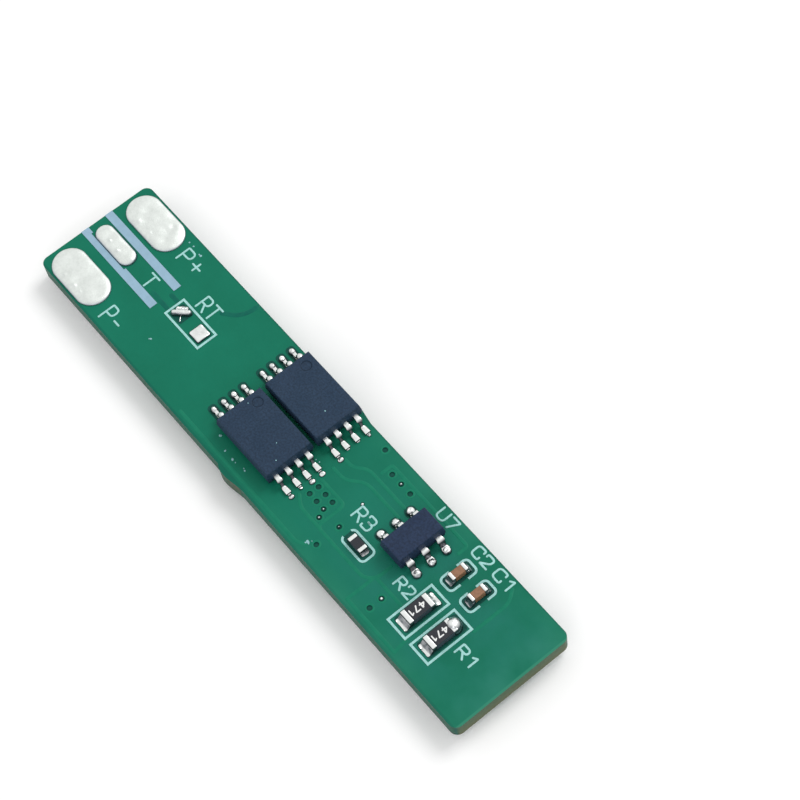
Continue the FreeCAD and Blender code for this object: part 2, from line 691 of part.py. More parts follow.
make_board()
for pad_name in ("p_plus", "p_minus"):
    make_tinned_land(f"{pad_name}_pad", pad_name, "pad_long", "pad_wide")
make_tinned_land("t_pad", "sense", "sense_long", "sense_wide")
make_drops()
make_strips()
make_rings()
for chip_name, chip_kind in (("q1", "tssop"), ("q2", "tssop"), ("u7", "sot")):
    make_package(f"{chip_name}_body", chip_name, chip_kind, marked=chip_kind == "tssop")
    make_leads(f"{chip_name}_leads", chip_name, chip_kind)
    make_solder(
        f"{chip_name}_solder",
        chip_name,
        tip=f"{chip_kind}_span / 2",
        inner=f"{ankle(chip_kind)} - solder_heel",
        width=f"{chip_kind}_land_wide",
        rise=f"{chip_kind}_lead_thick",
        row=first_row(chip_kind),
        pitch=f"{chip_kind}_pitch",
        count=f"{chip_kind}_count",
    )
make_chip("r1", "long_chip", "r1_core", wraps=False, turn=90, blob=True)
make_chip("r2", "long_chip", "r2_core", wraps=False, turn=90)
make_chip("r3", "short_chip", "r3_core", wraps=False, turn=0)
make_chip("c1", "capacitor", "c1_body", wraps=True, turn=90)
make_chip("c2", "capacitor", "c2_body", wraps=True, turn=90)
make_tab("b_minus", "-", "-")
make_tab("b_plus", "-", "+")
make_tab("bm1", "+", "-")
make_tab("bm2", "+", "+")

doc.recompute()
for item in doc.Objects:
    if {"Invalid", "Error"} & set(item.State):
        raise RuntimeError(f"{item.Name} failed: {item.State}")
    if item.TypeId == "PartDesign::Pocket" and item.Shape.Volume >= item.BaseFeature.Shape.Volume:
        raise RuntimeError(f"{item.Name} takes nothing away")
for node in NODES:
    if node.Shape.isNull() or not node.Shape.isValid():
        raise RuntimeError(f"{node.Label} has no valid shape")

os.makedirs("parts", exist_ok=True)
for node in NODES:
    node.Shape.exportStep(f"parts/{node.Label}.step")
    print(node.Label, len(node.Shape.Solids), round(node.Shape.Volume, 4))
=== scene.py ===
"""A small battery management board: its green mask, parts, solder, lettering and nickel tabs.

Lengths are metres in the model's frame: x along the board, y across it and z up.
"""
import math

import bmesh
import bpy
import numpy as np
from bpy.props import FloatProperty, FloatVectorProperty, IntProperty, PointerProperty
from mathutils import Matrix, Vector


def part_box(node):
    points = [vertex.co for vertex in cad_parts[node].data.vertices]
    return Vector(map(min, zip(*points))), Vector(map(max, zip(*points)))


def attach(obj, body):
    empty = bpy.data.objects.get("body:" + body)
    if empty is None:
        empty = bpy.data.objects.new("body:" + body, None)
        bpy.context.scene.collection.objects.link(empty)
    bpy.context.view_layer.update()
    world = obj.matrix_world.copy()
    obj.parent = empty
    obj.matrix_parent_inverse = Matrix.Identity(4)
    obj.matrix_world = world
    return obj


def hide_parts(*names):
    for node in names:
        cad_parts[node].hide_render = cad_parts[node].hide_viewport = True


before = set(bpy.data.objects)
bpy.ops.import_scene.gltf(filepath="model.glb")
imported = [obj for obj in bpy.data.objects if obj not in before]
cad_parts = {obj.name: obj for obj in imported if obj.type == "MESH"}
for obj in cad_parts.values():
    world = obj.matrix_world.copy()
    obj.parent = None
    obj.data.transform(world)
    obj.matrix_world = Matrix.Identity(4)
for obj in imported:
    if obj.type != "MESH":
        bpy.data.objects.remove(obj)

bl_info = {
    "name": "Battery management board",
    "version": (1, 0, 0),
    "blender": (4, 5, 0),
    "location": "View3D > Sidebar > Board",
    "description": "Builds the parts, solder, lettering and finishes of a small battery board",
    "category": "Object",
}

MM = 0.001

BOARD_LOW, BOARD_HIGH = (np.array(corner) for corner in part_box("board"))
TOP_FACE = BOARD_HIGH[2]
UNDERSIDE = BOARD_LOW[2]
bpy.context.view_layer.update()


def linear(red, green, blue):
    """A display colour, 0 to 255, as the linear values that a shader mixes."""
    share = np.array([red, green, blue]) / 255.0
    bright = ((share + 0.055) / 1.055) ** 2.4
    return tuple(float(value) for value in np.where(share <= 0.04045, share / 12.92, bright))


def length(name, text, value):
    """A length property whose default is given in millimetres."""
    return FloatProperty(name=name, description=text, default=value * MM, min=0.0,
                         precision=6, unit="LENGTH")


def colour(name, text, red, green, blue):
    """A colour property whose default is a display colour, 0 to 255."""
    return FloatVectorProperty(name=name, description=text, subtype="COLOR", size=3,
                               min=0.0, max=1.0, default=linear(red, green, blue))


class BoardLayout(bpy.types.PropertyGroup):
    """Sizes of what lies on the bare board."""
    wide: length("Board width", "Width of the laminate between its straight edges", 7.25)
    ink_high: length("Ink height", "Thickness of the printed ink", 0.03)
    ink_wide: length("Ink width", "Width of a printed stroke", 0.115)
    track_high: length("Copper relief", "How far a track stands out under the mask", 0.012)
    track_wide: length("Track width", "Width of a copper track under the mask", 0.15)
    via_inner: length("Via radius", "Radius of a drilled via", 0.15)
    via_outer: length("Via land radius", "Outer radius of a via's ring", 0.26)
    pad_relief: length("Tin unevenness", "How far the tin on a land rises and falls", 0.014)
    clearance: length("Mask clearance", "Bare laminate between a land and the mask", 0.05)


class PackageSizes(bpy.types.PropertyGroup):
    """Sizes of the moulded packages and of their leads."""
    edge: length("Moulding edge", "Rounding of the moulded body's edges", 0.06)
    draft: length("Wall draft", "How far a wall draws in between the leads and the top", 0.075)
    dimple: length("Mark radius", "Radius of the round mark at the first lead", 0.33)
    dimple_deep: length("Mark depth", "Depth of the round mark", 0.05)
    dimple_in: length("Mark inset", "Distance of the round mark from two edges", 0.68)
    lead_bend: length("Lead bend", "Inner radius of a lead's bends", 0.14)
    lead_thick: length("Lead thickness", "Thickness of the sheet of the leads", 0.14)
    knee: length("Lead shoulder", "Flat run of a lead before it bends down", 0.36)
    short_knee: length("Short shoulder", "The same run of the control chip's leads", 0.22)
    four_pitch: length("Eight-lead pitch", "Distance of the leads of the transistors", 0.65)
    four_wide: length("Eight-lead width", "Width of a transistor's lead", 0.25)
    three_pitch: length("Six-lead pitch", "Distance of the leads of the control chip", 0.95)
    three_wide: length("Six-lead width", "Width of the control chip's lead", 0.4)
    four_count: IntProperty(name="Eight-lead row", description="Leads on a side", default=4)
    three_count: IntProperty(name="Six-lead row", description="Leads on a side", default=3)
    leg_slope: FloatProperty(name="Leg slope", description="Angle of a lead's leg",
                             subtype="ANGLE", default=math.radians(76.0))


class PieceColours(bpy.types.PropertyGroup):
    """Colours of the finishes."""
    mask: colour("Mask over copper", "Green mask where copper lies under it", 14, 114, 90)
    mask_bare: colour("Mask over laminate", "Green mask without copper under it", 10, 106, 82)
    mask_line: colour("Mask on an edge", "Mask thinned over the edge of the copper", 24, 123, 95)
    mask_gap: colour("Mask in a gap", "Mask between two areas of copper", 8, 92, 80)
    mask_end: colour("Mask at the end", "Mask over the wide copper at the component end", 32, 114, 102)
    mask_rim: colour("Mask at a rim", "Mask that catches the light along the end edge", 54, 134, 108)
    bare: colour("Bare laminate", "Laminate between a land and the mask", 12, 82, 72)
    wall: colour("Coated wall", "Long wall with mask on it", 14, 84, 64)
    wall_end: colour("Cut wall", "Wall of the component end", 92, 98, 66)
    laminate: colour("Laminate edge", "Broken glass-fibre laminate of the nibs", 92, 84, 66)
    epoxy: colour("Transistor moulding", "Moulding compound of the transistors", 36, 56, 78)
    epoxy_dark: colour("Chip moulding", "Moulding compound of the control chip", 34, 50, 76)
    solder: colour("Solder", "Bright solder", 238, 241, 239)
    tin: colour("Tinned land", "Dull tin on the wide lands", 224, 229, 225)
    nickel: colour("Nickel", "Nickel tabs", 232, 229, 222)
    ink: colour("Ink", "Printed letters and outlines", 168, 220, 216)
    ink_strip: colour("Ink strip", "Wide printed strips", 150, 182, 203)
    ceramic: colour("Capacitor ceramic", "Brown ceramic of the capacitors", 150, 108, 80)
    # The dark blue-grey of the alumina is painted shade on the resistors' sides; the ceramic itself is
    # white.
    alumina: colour("Alumina", "Ceramic of the resistors, in flux", 62, 72, 84)
    glaze: colour("Resistor glaze", "Dark glaze over a resistor", 20, 26, 38)


class StageSettings(bpy.types.PropertyGroup):
    """The camera's place and the light."""
    lens: FloatProperty(name="Lens", description="Focal length on a 36 mm sensor, in mm",
                        default=102.55)
    place: FloatVectorProperty(name="Camera place", description="Where the camera stands",
                               subtype="TRANSLATION", size=3, precision=6,
                               default=(0.050366, -0.021185, 0.103839))
    aim: FloatVectorProperty(name="Aim", description="Point in the middle of the picture",
                             subtype="TRANSLATION", size=3, precision=6,
                             default=(0.001973, 0.005588, 0.0015))
    roll: FloatProperty(name="Roll", description="Turn of the camera about its line of sight",
                        subtype="ANGLE", default=math.radians(-11.35))
    key_power: FloatProperty(name="Key lamp", description="Power of the large lamp",
                             unit="POWER", default=0.33)
    fill_power: FloatProperty(name="Fill lamp", description="Power of the lamp in front",
                              unit="POWER", default=0.08)
    ambient: FloatProperty(name="Ambient", description="Strength of the light all round",
                           default=0.8)


# Node trees

# Colours that stay as they are, as linear values.
WHITE = (1.0, 1.0, 1.0)
NUMBER_INK = linear(244, 246, 244)
FLUX = linear(150, 200, 206)
FILLER_GRAIN = (0.5, 0.58, 0.62)
EFFECTS = {}
FINISHES = {}


def add(tree, kind, inputs=None, **settings):
    """A node of that kind: inputs by name or number, given as values, as colours of three parts
    or as other nodes' outputs."""
    made = tree.nodes.new(kind)
    for name, value in settings.items():
        setattr(made, name, value)
    for name, value in (inputs or {}).items():
        socket = made.inputs[name]
        if isinstance(value, bpy.types.NodeSocket):
            tree.links.new(value, socket)
        else:
            socket.default_value = (*value, 1.0) if socket.type == "RGBA" else value
    return made


def blend(tree, share, first, second):
    """A colour between two, by a share from 0 to 1."""
    mixed = add(tree, "ShaderNodeMix", {0: share, 6: first, 7: second}, data_type="RGBA")
    return mixed.outputs[2]


def shaded(tone, share):
    """A colour darkened or brightened to a share of itself."""
    return tuple(share * value for value in tone)


def maths(tree, operation, first, second=0.0):
    """One step of arithmetic on two values."""
    return add(tree, "ShaderNodeMath", {0: first, 1: second}, operation=operation).outputs[0]


def times(tree, first, second):
    """The product of two values."""
    return maths(tree, "MULTIPLY", first, second)


def ramp(tree, value, low, high, bottom=0.0, top=1.0):
    """A value mapped from low..high to bottom..top, held at both ends."""
    limits = {"Value": value, "From Min": low, "From Max": high, "To Min": bottom, "To Max": top}
    return add(tree, "ShaderNodeMapRange", limits).outputs[0]


def in_millimetres(tree, stretch=(1.0, 1.0, 1.0)):
    """Object coordinates in millimetres, stretched along each axis."""
    place = add(tree, "ShaderNodeTexCoord").outputs["Object"]
    scale = tuple(share / MM for share in stretch)
    return add(tree, "ShaderNodeMapping", {"Vector": place, "Scale": scale}).outputs[0]


def noise(tree, scale, detail, stretch=(1.0, 1.0, 1.0)):
    """Layered noise from 0 to 1, at a scale per millimetre."""
    inputs = {"Vector": in_millimetres(tree, stretch), "Scale": scale, "Detail": detail}
    return add(tree, "ShaderNodeTexNoise", inputs).outputs[0]


def mottle(tree, given):
    """Cloudy variation from 0 to 1: noise stretched about its middle."""
    off = maths(tree, "SUBTRACT", noise(tree, given["Scale"], given["Detail"]), 0.5)
    wide = times(tree, times(tree, off, 2.5), given["Sharpness"])
    lifted = add(tree, "ShaderNodeMath", {0: wide, 1: 0.5}, operation="ADD", use_clamp=True)
    return lifted.outputs[0]


def grain(tree, given):
    """A fine uneven surface: noise as the height of a bump."""
    inputs = {"Height": noise(tree, given["Scale"], 3.0), "Strength": given["Height"],
              "Distance": 0.02 * MM}
    return add(tree, "ShaderNodeBump", inputs).outputs[0]


def specks(tree, given):
    """Scattered specks: 1 near the middle of some cells of a cell pattern and 0 elsewhere."""
    cells = add(tree, "ShaderNodeTexVoronoi", {"Vector": in_millimetres(tree),
                                               "Scale": given["Scale"]}).outputs
    near = maths(tree, "LESS_THAN", cells["Distance"], given["Size"])
    tone = add(tree, "ShaderNodeSeparateColor", {0: cells["Color"]}).outputs[0]
    return times(tree, near, maths(tree, "LESS_THAN", tone, given["Share"]))


def scratches(tree, given):
    """Fine lines along the board: noise stretched along x, kept where it is highest."""
    lines = noise(tree, given["Scale"], 2.0, (0.08, 1.0, 1.0))
    return ramp(tree, lines, given["Limit"], maths(tree, "ADD", given["Limit"], 0.06))


def facing(tree, given):
    """How much a surface faces up or down, from 0 to 1 between two limits: the size of its
    normal's height, plus a lean towards the output end and the positive edge."""
    normal = add(tree, "ShaderNodeSeparateXYZ",
                 {0: add(tree, "ShaderNodeNewGeometry").outputs["Normal"]}).outputs
    aside = times(tree, maths(tree, "SUBTRACT", normal[1], normal[0]), given["Lean"])
    total = maths(tree, "ADD", maths(tree, "ABSOLUTE", normal[2]), aside)
    return ramp(tree, total, given["Low"], given["High"])


# Each effect: the function that builds it, its inputs with their defaults, its output's kind.
EFFECT_PLANS = {
    "Mottle": (mottle, {"Scale": 1.0, "Detail": 4.0, "Sharpness": 1.0}, "NodeSocketFloat"),
    "Grain": (grain, {"Scale": 20.0, "Height": 0.5}, "NodeSocketVector"),
    "Specks": (specks, {"Scale": 2.0, "Size": 0.1, "Share": 0.4}, "NodeSocketFloat"),
    "Scratches": (scratches, {"Scale": 6.0, "Limit": 0.62}, "NodeSocketFloat"),
    "Facing": (facing, {"Low": 0.5, "High": 0.9, "Lean": 0.0}, "NodeSocketFloat"),
}


def make_effects():
    """A shader group for each effect, with named value inputs and one output."""
    for name, (build, inputs, kind) in EFFECT_PLANS.items():
        tree = EFFECTS[name] = bpy.data.node_groups.new(name, "ShaderNodeTree")
        for label, value in inputs.items():
            socket = tree.interface.new_socket(label, in_out="INPUT",
                                               socket_type="NodeSocketFloat")
            socket.default_value = value
        tree.interface.new_socket("Result", in_out="OUTPUT", socket_type=kind)
        given = tree.nodes.new("NodeGroupInput").outputs
        result = tree.nodes.new("NodeGroupOutput")
        tree.links.new(build(tree, given), result.inputs[0])


def effect(tree, name, *values):
    """A shared effect placed in a material, with values in the order of its inputs."""
    placed = add(tree, "ShaderNodeGroup", dict(enumerate(values)), node_tree=EFFECTS[name])
    return placed.outputs[0]


def new_material(name, roughness, metallic=0.0, specular=0.5, coat=0.0):
    """A material with an empty tree but for its shader, whose steady values are set."""
    material = bpy.data.materials.new(name)
    material.use_nodes = True
    tree = material.node_tree
    sockets = tree.nodes["Principled BSDF"].inputs
    for label, value in (("Roughness", roughness), ("Metallic", metallic),
                         ("Specular IOR Level", specular), ("Coat Weight", coat)):
        sockets[label].default_value = value
    return material, tree, sockets


def plug(tree, sockets, **sources):
    """Joins outputs to the shader's sockets, whose names have a space for each underscore."""
    for name, source in sources.items():
        tree.links.new(source, sockets[name.replace("_", " ")])


def face_tone(tree, colours, place, beside, fine, end, edge):
    """The mask's flat faces: cloudy over the copper, bluer over the wide copper of the component
    end, darker along the long edges, and with a painted highlight along the end and near the long
    edges towards it."""
    clouds = effect(tree, "Mottle", 0.35, 3.0, 1.0)
    tone = blend(tree, clouds, colours.mask_bare, colours.mask)
    towards = times(tree, ramp(tree, place[0], 0.05 * end, 0.75 * end),
                    ramp(tree, beside, 0.6 * edge, 0.95 * edge, 0.8, 0.1))
    wide_copper = times(tree, towards, ramp(tree, clouds, 0.1, 0.7, 0.15, 1.0))
    bluer = blend(tree, wide_copper, tone, colours.mask_end)
    pale = blend(tree, times(tree, fine, 0.22), bluer, colours.mask_line)
    rims = maths(tree, "ADD", ramp(tree, place[1], 0.15 - edge, 0.1 - edge, 0.0, 0.45),
                 ramp(tree, place[1], edge - 0.1, edge - 0.04, 0.0, 0.5))
    dull = blend(tree, rims, pale, colours.bare)
    # Painted highlight: the mask catches the light near the long edges towards the end and along the
    # end itself.
    edge_highlight = times(tree, ramp(tree, beside, 0.72 * edge, 0.96 * edge),
                 ramp(tree, place[0], 0.0, 0.4 * end, 0.0, 0.3))
    broad = maths(tree, "MAXIMUM", edge_highlight, ramp(tree, place[0], end - 1.8, end - 0.3, 0.0, 0.5))
    painted_highlight = maths(tree, "MAXIMUM", times(tree, broad, clouds),
                    ramp(tree, place[0], end - 0.16, end - 0.1, 0.0, 0.8))
    return blend(tree, painted_highlight, dull, colours.mask_rim)


def wall_tone(tree, colours, place, beside, end, edge):
    """The board's walls: mask on the long ones, broken laminate on the nibs, a cut at the ends
    and bare laminate in the holes."""
    low, high = UNDERSIDE / MM, TOP_FACE / MM
    coated = blend(tree, ramp(tree, place[2], low + 0.05, low + 0.2), shaded(colours.wall, 0.4),
                   colours.wall)
    layers = noise(tree, 1.0, 3.0, (0.6, 0.6, 9.0))
    broken = blend(tree, ramp(tree, layers, 0.35, 0.65), coated, colours.laminate)
    cut = blend(tree, ramp(tree, place[2], low, high, 0.0, 0.6), colours.wall_end, colours.wall)
    on_end = ramp(tree, maths(tree, "ABSOLUTE", place[0]), end - 0.1, end - 0.02)
    on_nib = ramp(tree, beside, edge + 0.01, edge + 0.04)
    side = blend(tree, on_nib, blend(tree, on_end, coated, cut), broken)
    inside = times(tree, maths(tree, "LESS_THAN", beside, edge - 0.1),
                   maths(tree, "LESS_THAN", place[0], end - 0.1))
    in_hole = times(tree, inside, maths(tree, "GREATER_THAN", place[0], 0.1 - end))
    return blend(tree, in_hole, side, colours.bare)


def make_mask_material(colours, layout):
    """Green mask: one tone where the board faces up or down and another on its walls, by the
    place in millimetres from the middle."""
    material, tree, sockets = new_material("green_mask", 0.42, specular=0.12)
    place = add(tree, "ShaderNodeSeparateXYZ", {0: in_millimetres(tree)}).outputs
    beside = maths(tree, "ABSOLUTE", place[1])
    fine = effect(tree, "Mottle", 5.0, 5.0, 0.6)
    reach = (BOARD_HIGH[0] / MM, layout.wide / 2.0 / MM)
    tone = blend(tree, effect(tree, "Facing", 0.5, 0.8, 0.0),
                 wall_tone(tree, colours, place, beside, *reach),
                 face_tone(tree, colours, place, beside, fine, *reach))
    plug(tree, sockets, Base_Color=tone, Roughness=ramp(tree, fine, 0.0, 1.0, 0.36, 0.5),
         Normal=effect(tree, "Grain", 3.0, 0.35))
    return material


def make_track_material(colours, name, tone):
    """Green mask stretched thin over the copper's edge: paler, with small breaks."""
    material, tree, sockets = new_material(name, 0.42, specular=0.12)
    soft = blend(tree, 0.3, colours.mask, tone)
    plug(tree, sockets, Base_Color=blend(tree, effect(tree, "Mottle", 2.5, 4.0, 1.0), soft, tone),
         Normal=effect(tree, "Grain", 8.0, 0.3))
    return material


def make_metal_material(name, tone, roughness, mottled, rubbed=0.0, height=0.4, scale=3.0,
                        shade=1.0, lean=0.0, turns=(0.5, 0.9)):
    """Tin, solder or nickel: mottled bright metal with a fine uneven skin, scratches where it
    is rubbed, and painted shade: a darker, bluer share of its brightness where it turns away from the
    light, less of it where it leans towards the output end and the positive edge."""
    material, tree, sockets = new_material(name, roughness, metallic=1.0)
    dark = shaded(tone, 1.0 - mottled)
    clouds = effect(tree, "Mottle", scale, 5.0, 1.2)
    stains = times(tree, effect(tree, "Specks", 2.2 * scale, 0.12, 0.25), 0.5 * mottled)
    seen = blend(tree, stains, blend(tree, clouds, dark, tone), dark)
    if rubbed:
        lines = times(tree, effect(tree, "Scratches", 9.0, 0.66), rubbed)
        seen = blend(tree, lines, seen, shaded(tone, 0.35))
    # Painted shade: faces that turn sideways get a darker, bluer copy of the tone.
    if shade < 1.0:
        painted_shade_tone = (shade * tone[0], shade * tone[1], 1.15 * shade * tone[2])
        seen = blend(tree, effect(tree, "Facing", *turns, lean), painted_shade_tone, seen)
    plug(tree, sockets, Base_Color=seen,
         Roughness=ramp(tree, clouds, 0.0, 1.0, roughness + 0.12, roughness - 0.06),
         Normal=effect(tree, "Grain", 4.0 * scale, height))
    return material


def make_moulding_material(name, tone):
    """Moulding compound: dark, finely speckled and slightly rough, with pale filler grains."""
    material, tree, sockets = new_material(name, 0.55, specular=0.2)
    wide = effect(tree, "Mottle", 0.8, 3.0, 1.0)
    dark = shaded(tone, 0.72)
    body = blend(tree, effect(tree, "Mottle", 9.0, 6.0, 1.4), dark, shaded(tone, 1.22))
    cloudy = blend(tree, times(tree, wide, 0.3), body, dark)
    dust = times(tree, effect(tree, "Specks", 1.1, 0.04, 0.5), 0.6)
    plug(tree, sockets, Base_Color=blend(tree, dust, cloudy, FILLER_GRAIN),
         Roughness=ramp(tree, wide, 0.0, 1.0, 0.48, 0.66),
         Normal=effect(tree, "Grain", 16.0, 0.55))
    return material


def make_plain_material(name, tone, roughness, specular, change, scale, worn=None, coat=0.0):
    """Ink, glaze or ceramic: one colour, clouded, finely grained and worn to another in spots."""
    material, tree, sockets = new_material(name, roughness, specular=specular, coat=coat)
    clouds = effect(tree, "Mottle", scale, 5.0, 1.2)
    base = blend(tree, clouds, shaded(tone, 1.0 - change), tone)
    if worn is not None:
        gaps = effect(tree, "Mottle", 2.6 * scale, 3.0, 1.0)
        base = blend(tree, ramp(tree, gaps, 0.78, 0.95, 0.0, 0.6), base, worn)
    plug(tree, sockets, Base_Color=base,
         Roughness=ramp(tree, clouds, 0.0, 1.0, roughness + 0.1, roughness - 0.08),
         Normal=effect(tree, "Grain", 4.0 * scale, 0.4))
    return material


def make_finishes(colours, layout):
    """Every finish, once."""
    plain, metal = make_plain_material, make_metal_material
    FINISHES.update({
        "mask": make_mask_material(colours, layout),
        "track": make_track_material(colours, "mask_on_copper_edge", colours.mask_line),
        "gap": make_track_material(colours, "mask_in_copper_gap", colours.mask_gap),
        "bare": plain("bare_laminate", colours.bare, 0.5, 0.15, 0.3, 6.0),
        "solder": metal("bright_solder", colours.solder, 0.22, 0.2, height=0.25, shade=0.2,
                        lean=0.1, turns=(0.5, 0.93)),
        "tin": metal("dull_tin", colours.tin, 0.4, 0.12, height=0.55, scale=5.0, shade=0.55,
                     lean=0.1, turns=(0.6, 0.98)),
        "lead": metal("lead_metal", colours.solder, 0.22, 0.15, height=0.2, scale=5.0,
                      shade=0.13, lean=0.1, turns=(0.5, 0.92)),
        "nickel": metal("nickel", colours.nickel, 0.34, 0.1, rubbed=0.3, height=0.25, scale=1.2,
                        shade=0.35, turns=(0.4, 0.9)),
        "epoxy": make_moulding_material("package_epoxy", colours.epoxy),
        "epoxy_dark": make_moulding_material("package_epoxy_dark", colours.epoxy_dark),
        # Painted shade: the moulding darkened, for the ring on the round mark's sloping rim.
        "mark": plain("mark_rim_painted_shade", shaded(colours.epoxy, 0.45), 0.6, 0.1, 0.2, 6.0),
        "ink": plain("legend_ink", colours.ink, 0.6, 0.2, 0.14, 5.0, colours.mask),
        "ink_strip": plain("legend_strip_ink", colours.ink_strip, 0.6, 0.2, 0.08, 3.0),
        "white_ink": plain("resistor_ink", NUMBER_INK, 0.5, 0.3, 0.1, 8.0, colours.glaze),
        "ceramic": plain("capacitor_ceramic", colours.ceramic, 0.4, 0.4, 0.25, 6.0),
        "alumina": plain("alumina", colours.alumina, 0.5, 0.4, 0.15, 6.0),
        "glaze": plain("resistor_glaze", colours.glaze, 0.3, 0.4, 0.3, 6.0, coat=0.2),
        "flux": plain("flux_residue", FLUX, 0.35, 0.5, 0.25, 6.0, colours.mask_line),
    })


# Surfaces

def box_of(name):
    """The lowest and highest corners of a solid."""
    return tuple(np.array(corner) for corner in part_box(name))


def spot(along, across):
    """A place on the board, in millimetres from its output and negative edges, in the frame."""
    wide = bpy.context.scene.board_layout.wide
    return np.array([BOARD_LOW[0] + along * MM, -wide / 2.0 + across * MM])


def faces_of(rows, columns, ring, start):
    """Corner numbers of a grid's faces: each row is a closed loop, joined to the next row."""
    row = np.arange(rows if ring else rows - 1)[:, None]
    column = np.arange(columns)[None, :]
    below, beside = (row + 1) % rows, (column + 1) % columns
    corners = (row * columns + column, row * columns + beside,
               below * columns + beside, below * columns + column)
    return start + np.stack(np.broadcast_arrays(*corners), axis=-1).reshape(-1, 4)


def make_piece(name, grids, finish, ring=False, sharp=35.0, stands_for=()):
    """One object from closed grids of points: doubles are merged and faces turned outwards."""
    starts = np.cumsum([0] + [grid.shape[0] * grid.shape[1] for grid in grids])
    points = np.concatenate([grid.reshape(-1, 3) for grid in grids])
    faces = np.concatenate([faces_of(*grid.shape[:2], ring, start)
                            for grid, start in zip(grids, starts)])
    mesh = bpy.data.meshes.new(name)
    mesh.from_pydata(points.tolist(), [], faces.tolist())
    build = bmesh.new()
    build.from_mesh(mesh)
    bmesh.ops.remove_doubles(build, verts=build.verts, dist=2e-7)
    bmesh.ops.dissolve_degenerate(build, edges=build.edges, dist=1e-8)
    bmesh.ops.recalc_face_normals(build, faces=build.faces)
    build.to_mesh(mesh)
    build.free()
    mesh.shade_smooth()
    mesh.set_sharp_from_angle(angle=math.radians(sharp))
    mesh.materials.append(FINISHES[finish])
    piece = bpy.data.objects.new(name, mesh)
    bpy.context.scene.collection.objects.link(piece)
    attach(piece, "root")
    if stands_for:
        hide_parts(*stands_for)
    return piece


def rounded_outline(long, wide, corner, inset, bend=6, side=4):
    """Rounded rectangles, one for each inset: corner centres, drawn in, plus a radius times a
    direction, and straight sides between the ends of the corners' arcs."""
    inset = np.atleast_1d(inset)[:, None, None]
    half_long = np.maximum(long / 2.0 - inset, 0.0)
    half_wide = np.maximum(wide / 2.0 - inset, 0.0)
    radius = np.clip(corner - inset, 0.0, np.minimum(half_long, half_wide))
    turn = (np.arange(4)[:, None] + np.linspace(0.0, 1.0, bend)[None, :]) * math.pi / 2.0
    way_x = np.array([1.0, -1.0, -1.0, 1.0])[:, None]
    way_y = np.array([1.0, 1.0, -1.0, -1.0])[:, None]
    arcs = np.stack([way_x * (half_long - radius) + radius * np.cos(turn),
                     way_y * (half_wide - radius) + radius * np.sin(turn)], axis=-1)
    first, last = np.roll(arcs[:, :, :1], -1, axis=1), arcs[:, :, -1:]
    share = np.linspace(0.0, 1.0, side + 2)[1:-1][None, None, :, None]
    whole = np.concatenate([arcs, last + share * (first - last)], axis=2)
    return whole.reshape(len(whole), -1, 2)


def block(place, size, corner, stations, base, way=1.0, relief=None, turn=0.0, **steps):
    """A closed body: a rounded outline drawn in and lifted, station by station (inset, lift),
    from the middle of its bottom to the middle of its top. Relief adds height to the top by
    the place in the outline, in full where the lift is full."""
    inset, lift = np.array(stations).T
    flat = rounded_outline(size[0], size[1], corner, inset, **steps)
    high = np.broadcast_to(lift[:, None], flat.shape[:2])
    if relief is not None:
        high = high + relief(flat[..., 0], flat[..., 1]) * (high / lift.max()) ** 2
    turned = flat @ np.array([[math.cos(turn), math.sin(turn)],
                              [-math.sin(turn), math.cos(turn)]])
    return np.dstack([turned + np.asarray(place), base + way * high])


def soft_box(half, high, edge, steps=5, rings=1):
    """Stations of a box with rounded edges: in from the middle, round the lower edge, up the
    wall, round the upper edge, and in to the middle."""
    turn = np.linspace(0.0, math.pi / 2.0, steps)
    lower = np.stack([edge * (1.0 - np.sin(turn)), edge * (1.0 - np.cos(turn))], axis=1)
    upper = np.stack([edge * (1.0 - np.cos(turn)), high - edge * (1.0 - np.sin(turn))], axis=1)
    top = np.stack([np.linspace(edge, half, rings + 1)[1:], np.full(rings, high)], axis=1)
    return np.concatenate([[(half, 0.0)], lower, upper, top])


def pillow(half, high, fullness, rings=14):
    """Stations of a pillow: the lift rises with the share of the way in as a power curve, full
    early when the fullness is high."""
    share = np.linspace(0.0, 1.0, rings) ** 1.6
    lift = high * (1.0 - (1.0 - share) ** fullness) ** (1.0 / fullness)
    return np.concatenate([[(half, 0.0)], np.stack([half * share, lift], axis=1)])


def flat_top(half, high, rings=14):
    """Stations of a low body with a flat top: up a short round edge, and in to the middle."""
    inwards = np.linspace(0.02 * MM, half, rings)
    return np.concatenate([[(half, 0.0), (0.0, 0.0)],
                           np.stack([inwards, np.full(rings, high)], axis=1)])


def meniscus(axis, way, start, run, high, power):
    """A height by place: full as far as a start along an axis, then falling to nothing over a
    run with a power of what is left of it."""
    def height(x, y):
        beyond = way * (x, y)[axis] - start
        return high * np.clip(1.0 - beyond / run, 0.0, 1.0) ** power
    return height


def lumps(seed, wave, high, count=9):
    """An uneven height by place: waves in seeded directions, added up."""
    draw = np.random.default_rng(seed)
    angle, phase = draw.uniform(0.0, 2.0 * math.pi, (2, count))
    step = 2.0 * math.pi / (wave * draw.uniform(0.6, 1.6, count))

    def height(x, y):
        along = x[..., None] * np.cos(angle) + y[..., None] * np.sin(angle)
        return high * np.sin(step * along + phase).sum(axis=-1) / math.sqrt(count)
    return height


def bell(x, y, centre, radius, high):
    """A round bump or, with a negative height, a dent: a bell curve of the distance."""
    away = (x - centre[0]) ** 2 + (y - centre[1]) ** 2
    return high * np.exp(-away / radius ** 2)


def marked(uneven, marks):
    """An uneven height with bumps and dents added to it: the place of each from the middle, its
    radius and its height, in millimetres."""
    def height(x, y):
        return uneven(x, y) + sum(bell(x, y, (along * MM, across * MM), radius * MM, rise * MM)
                                  for along, across, radius, rise in marks)
    return height


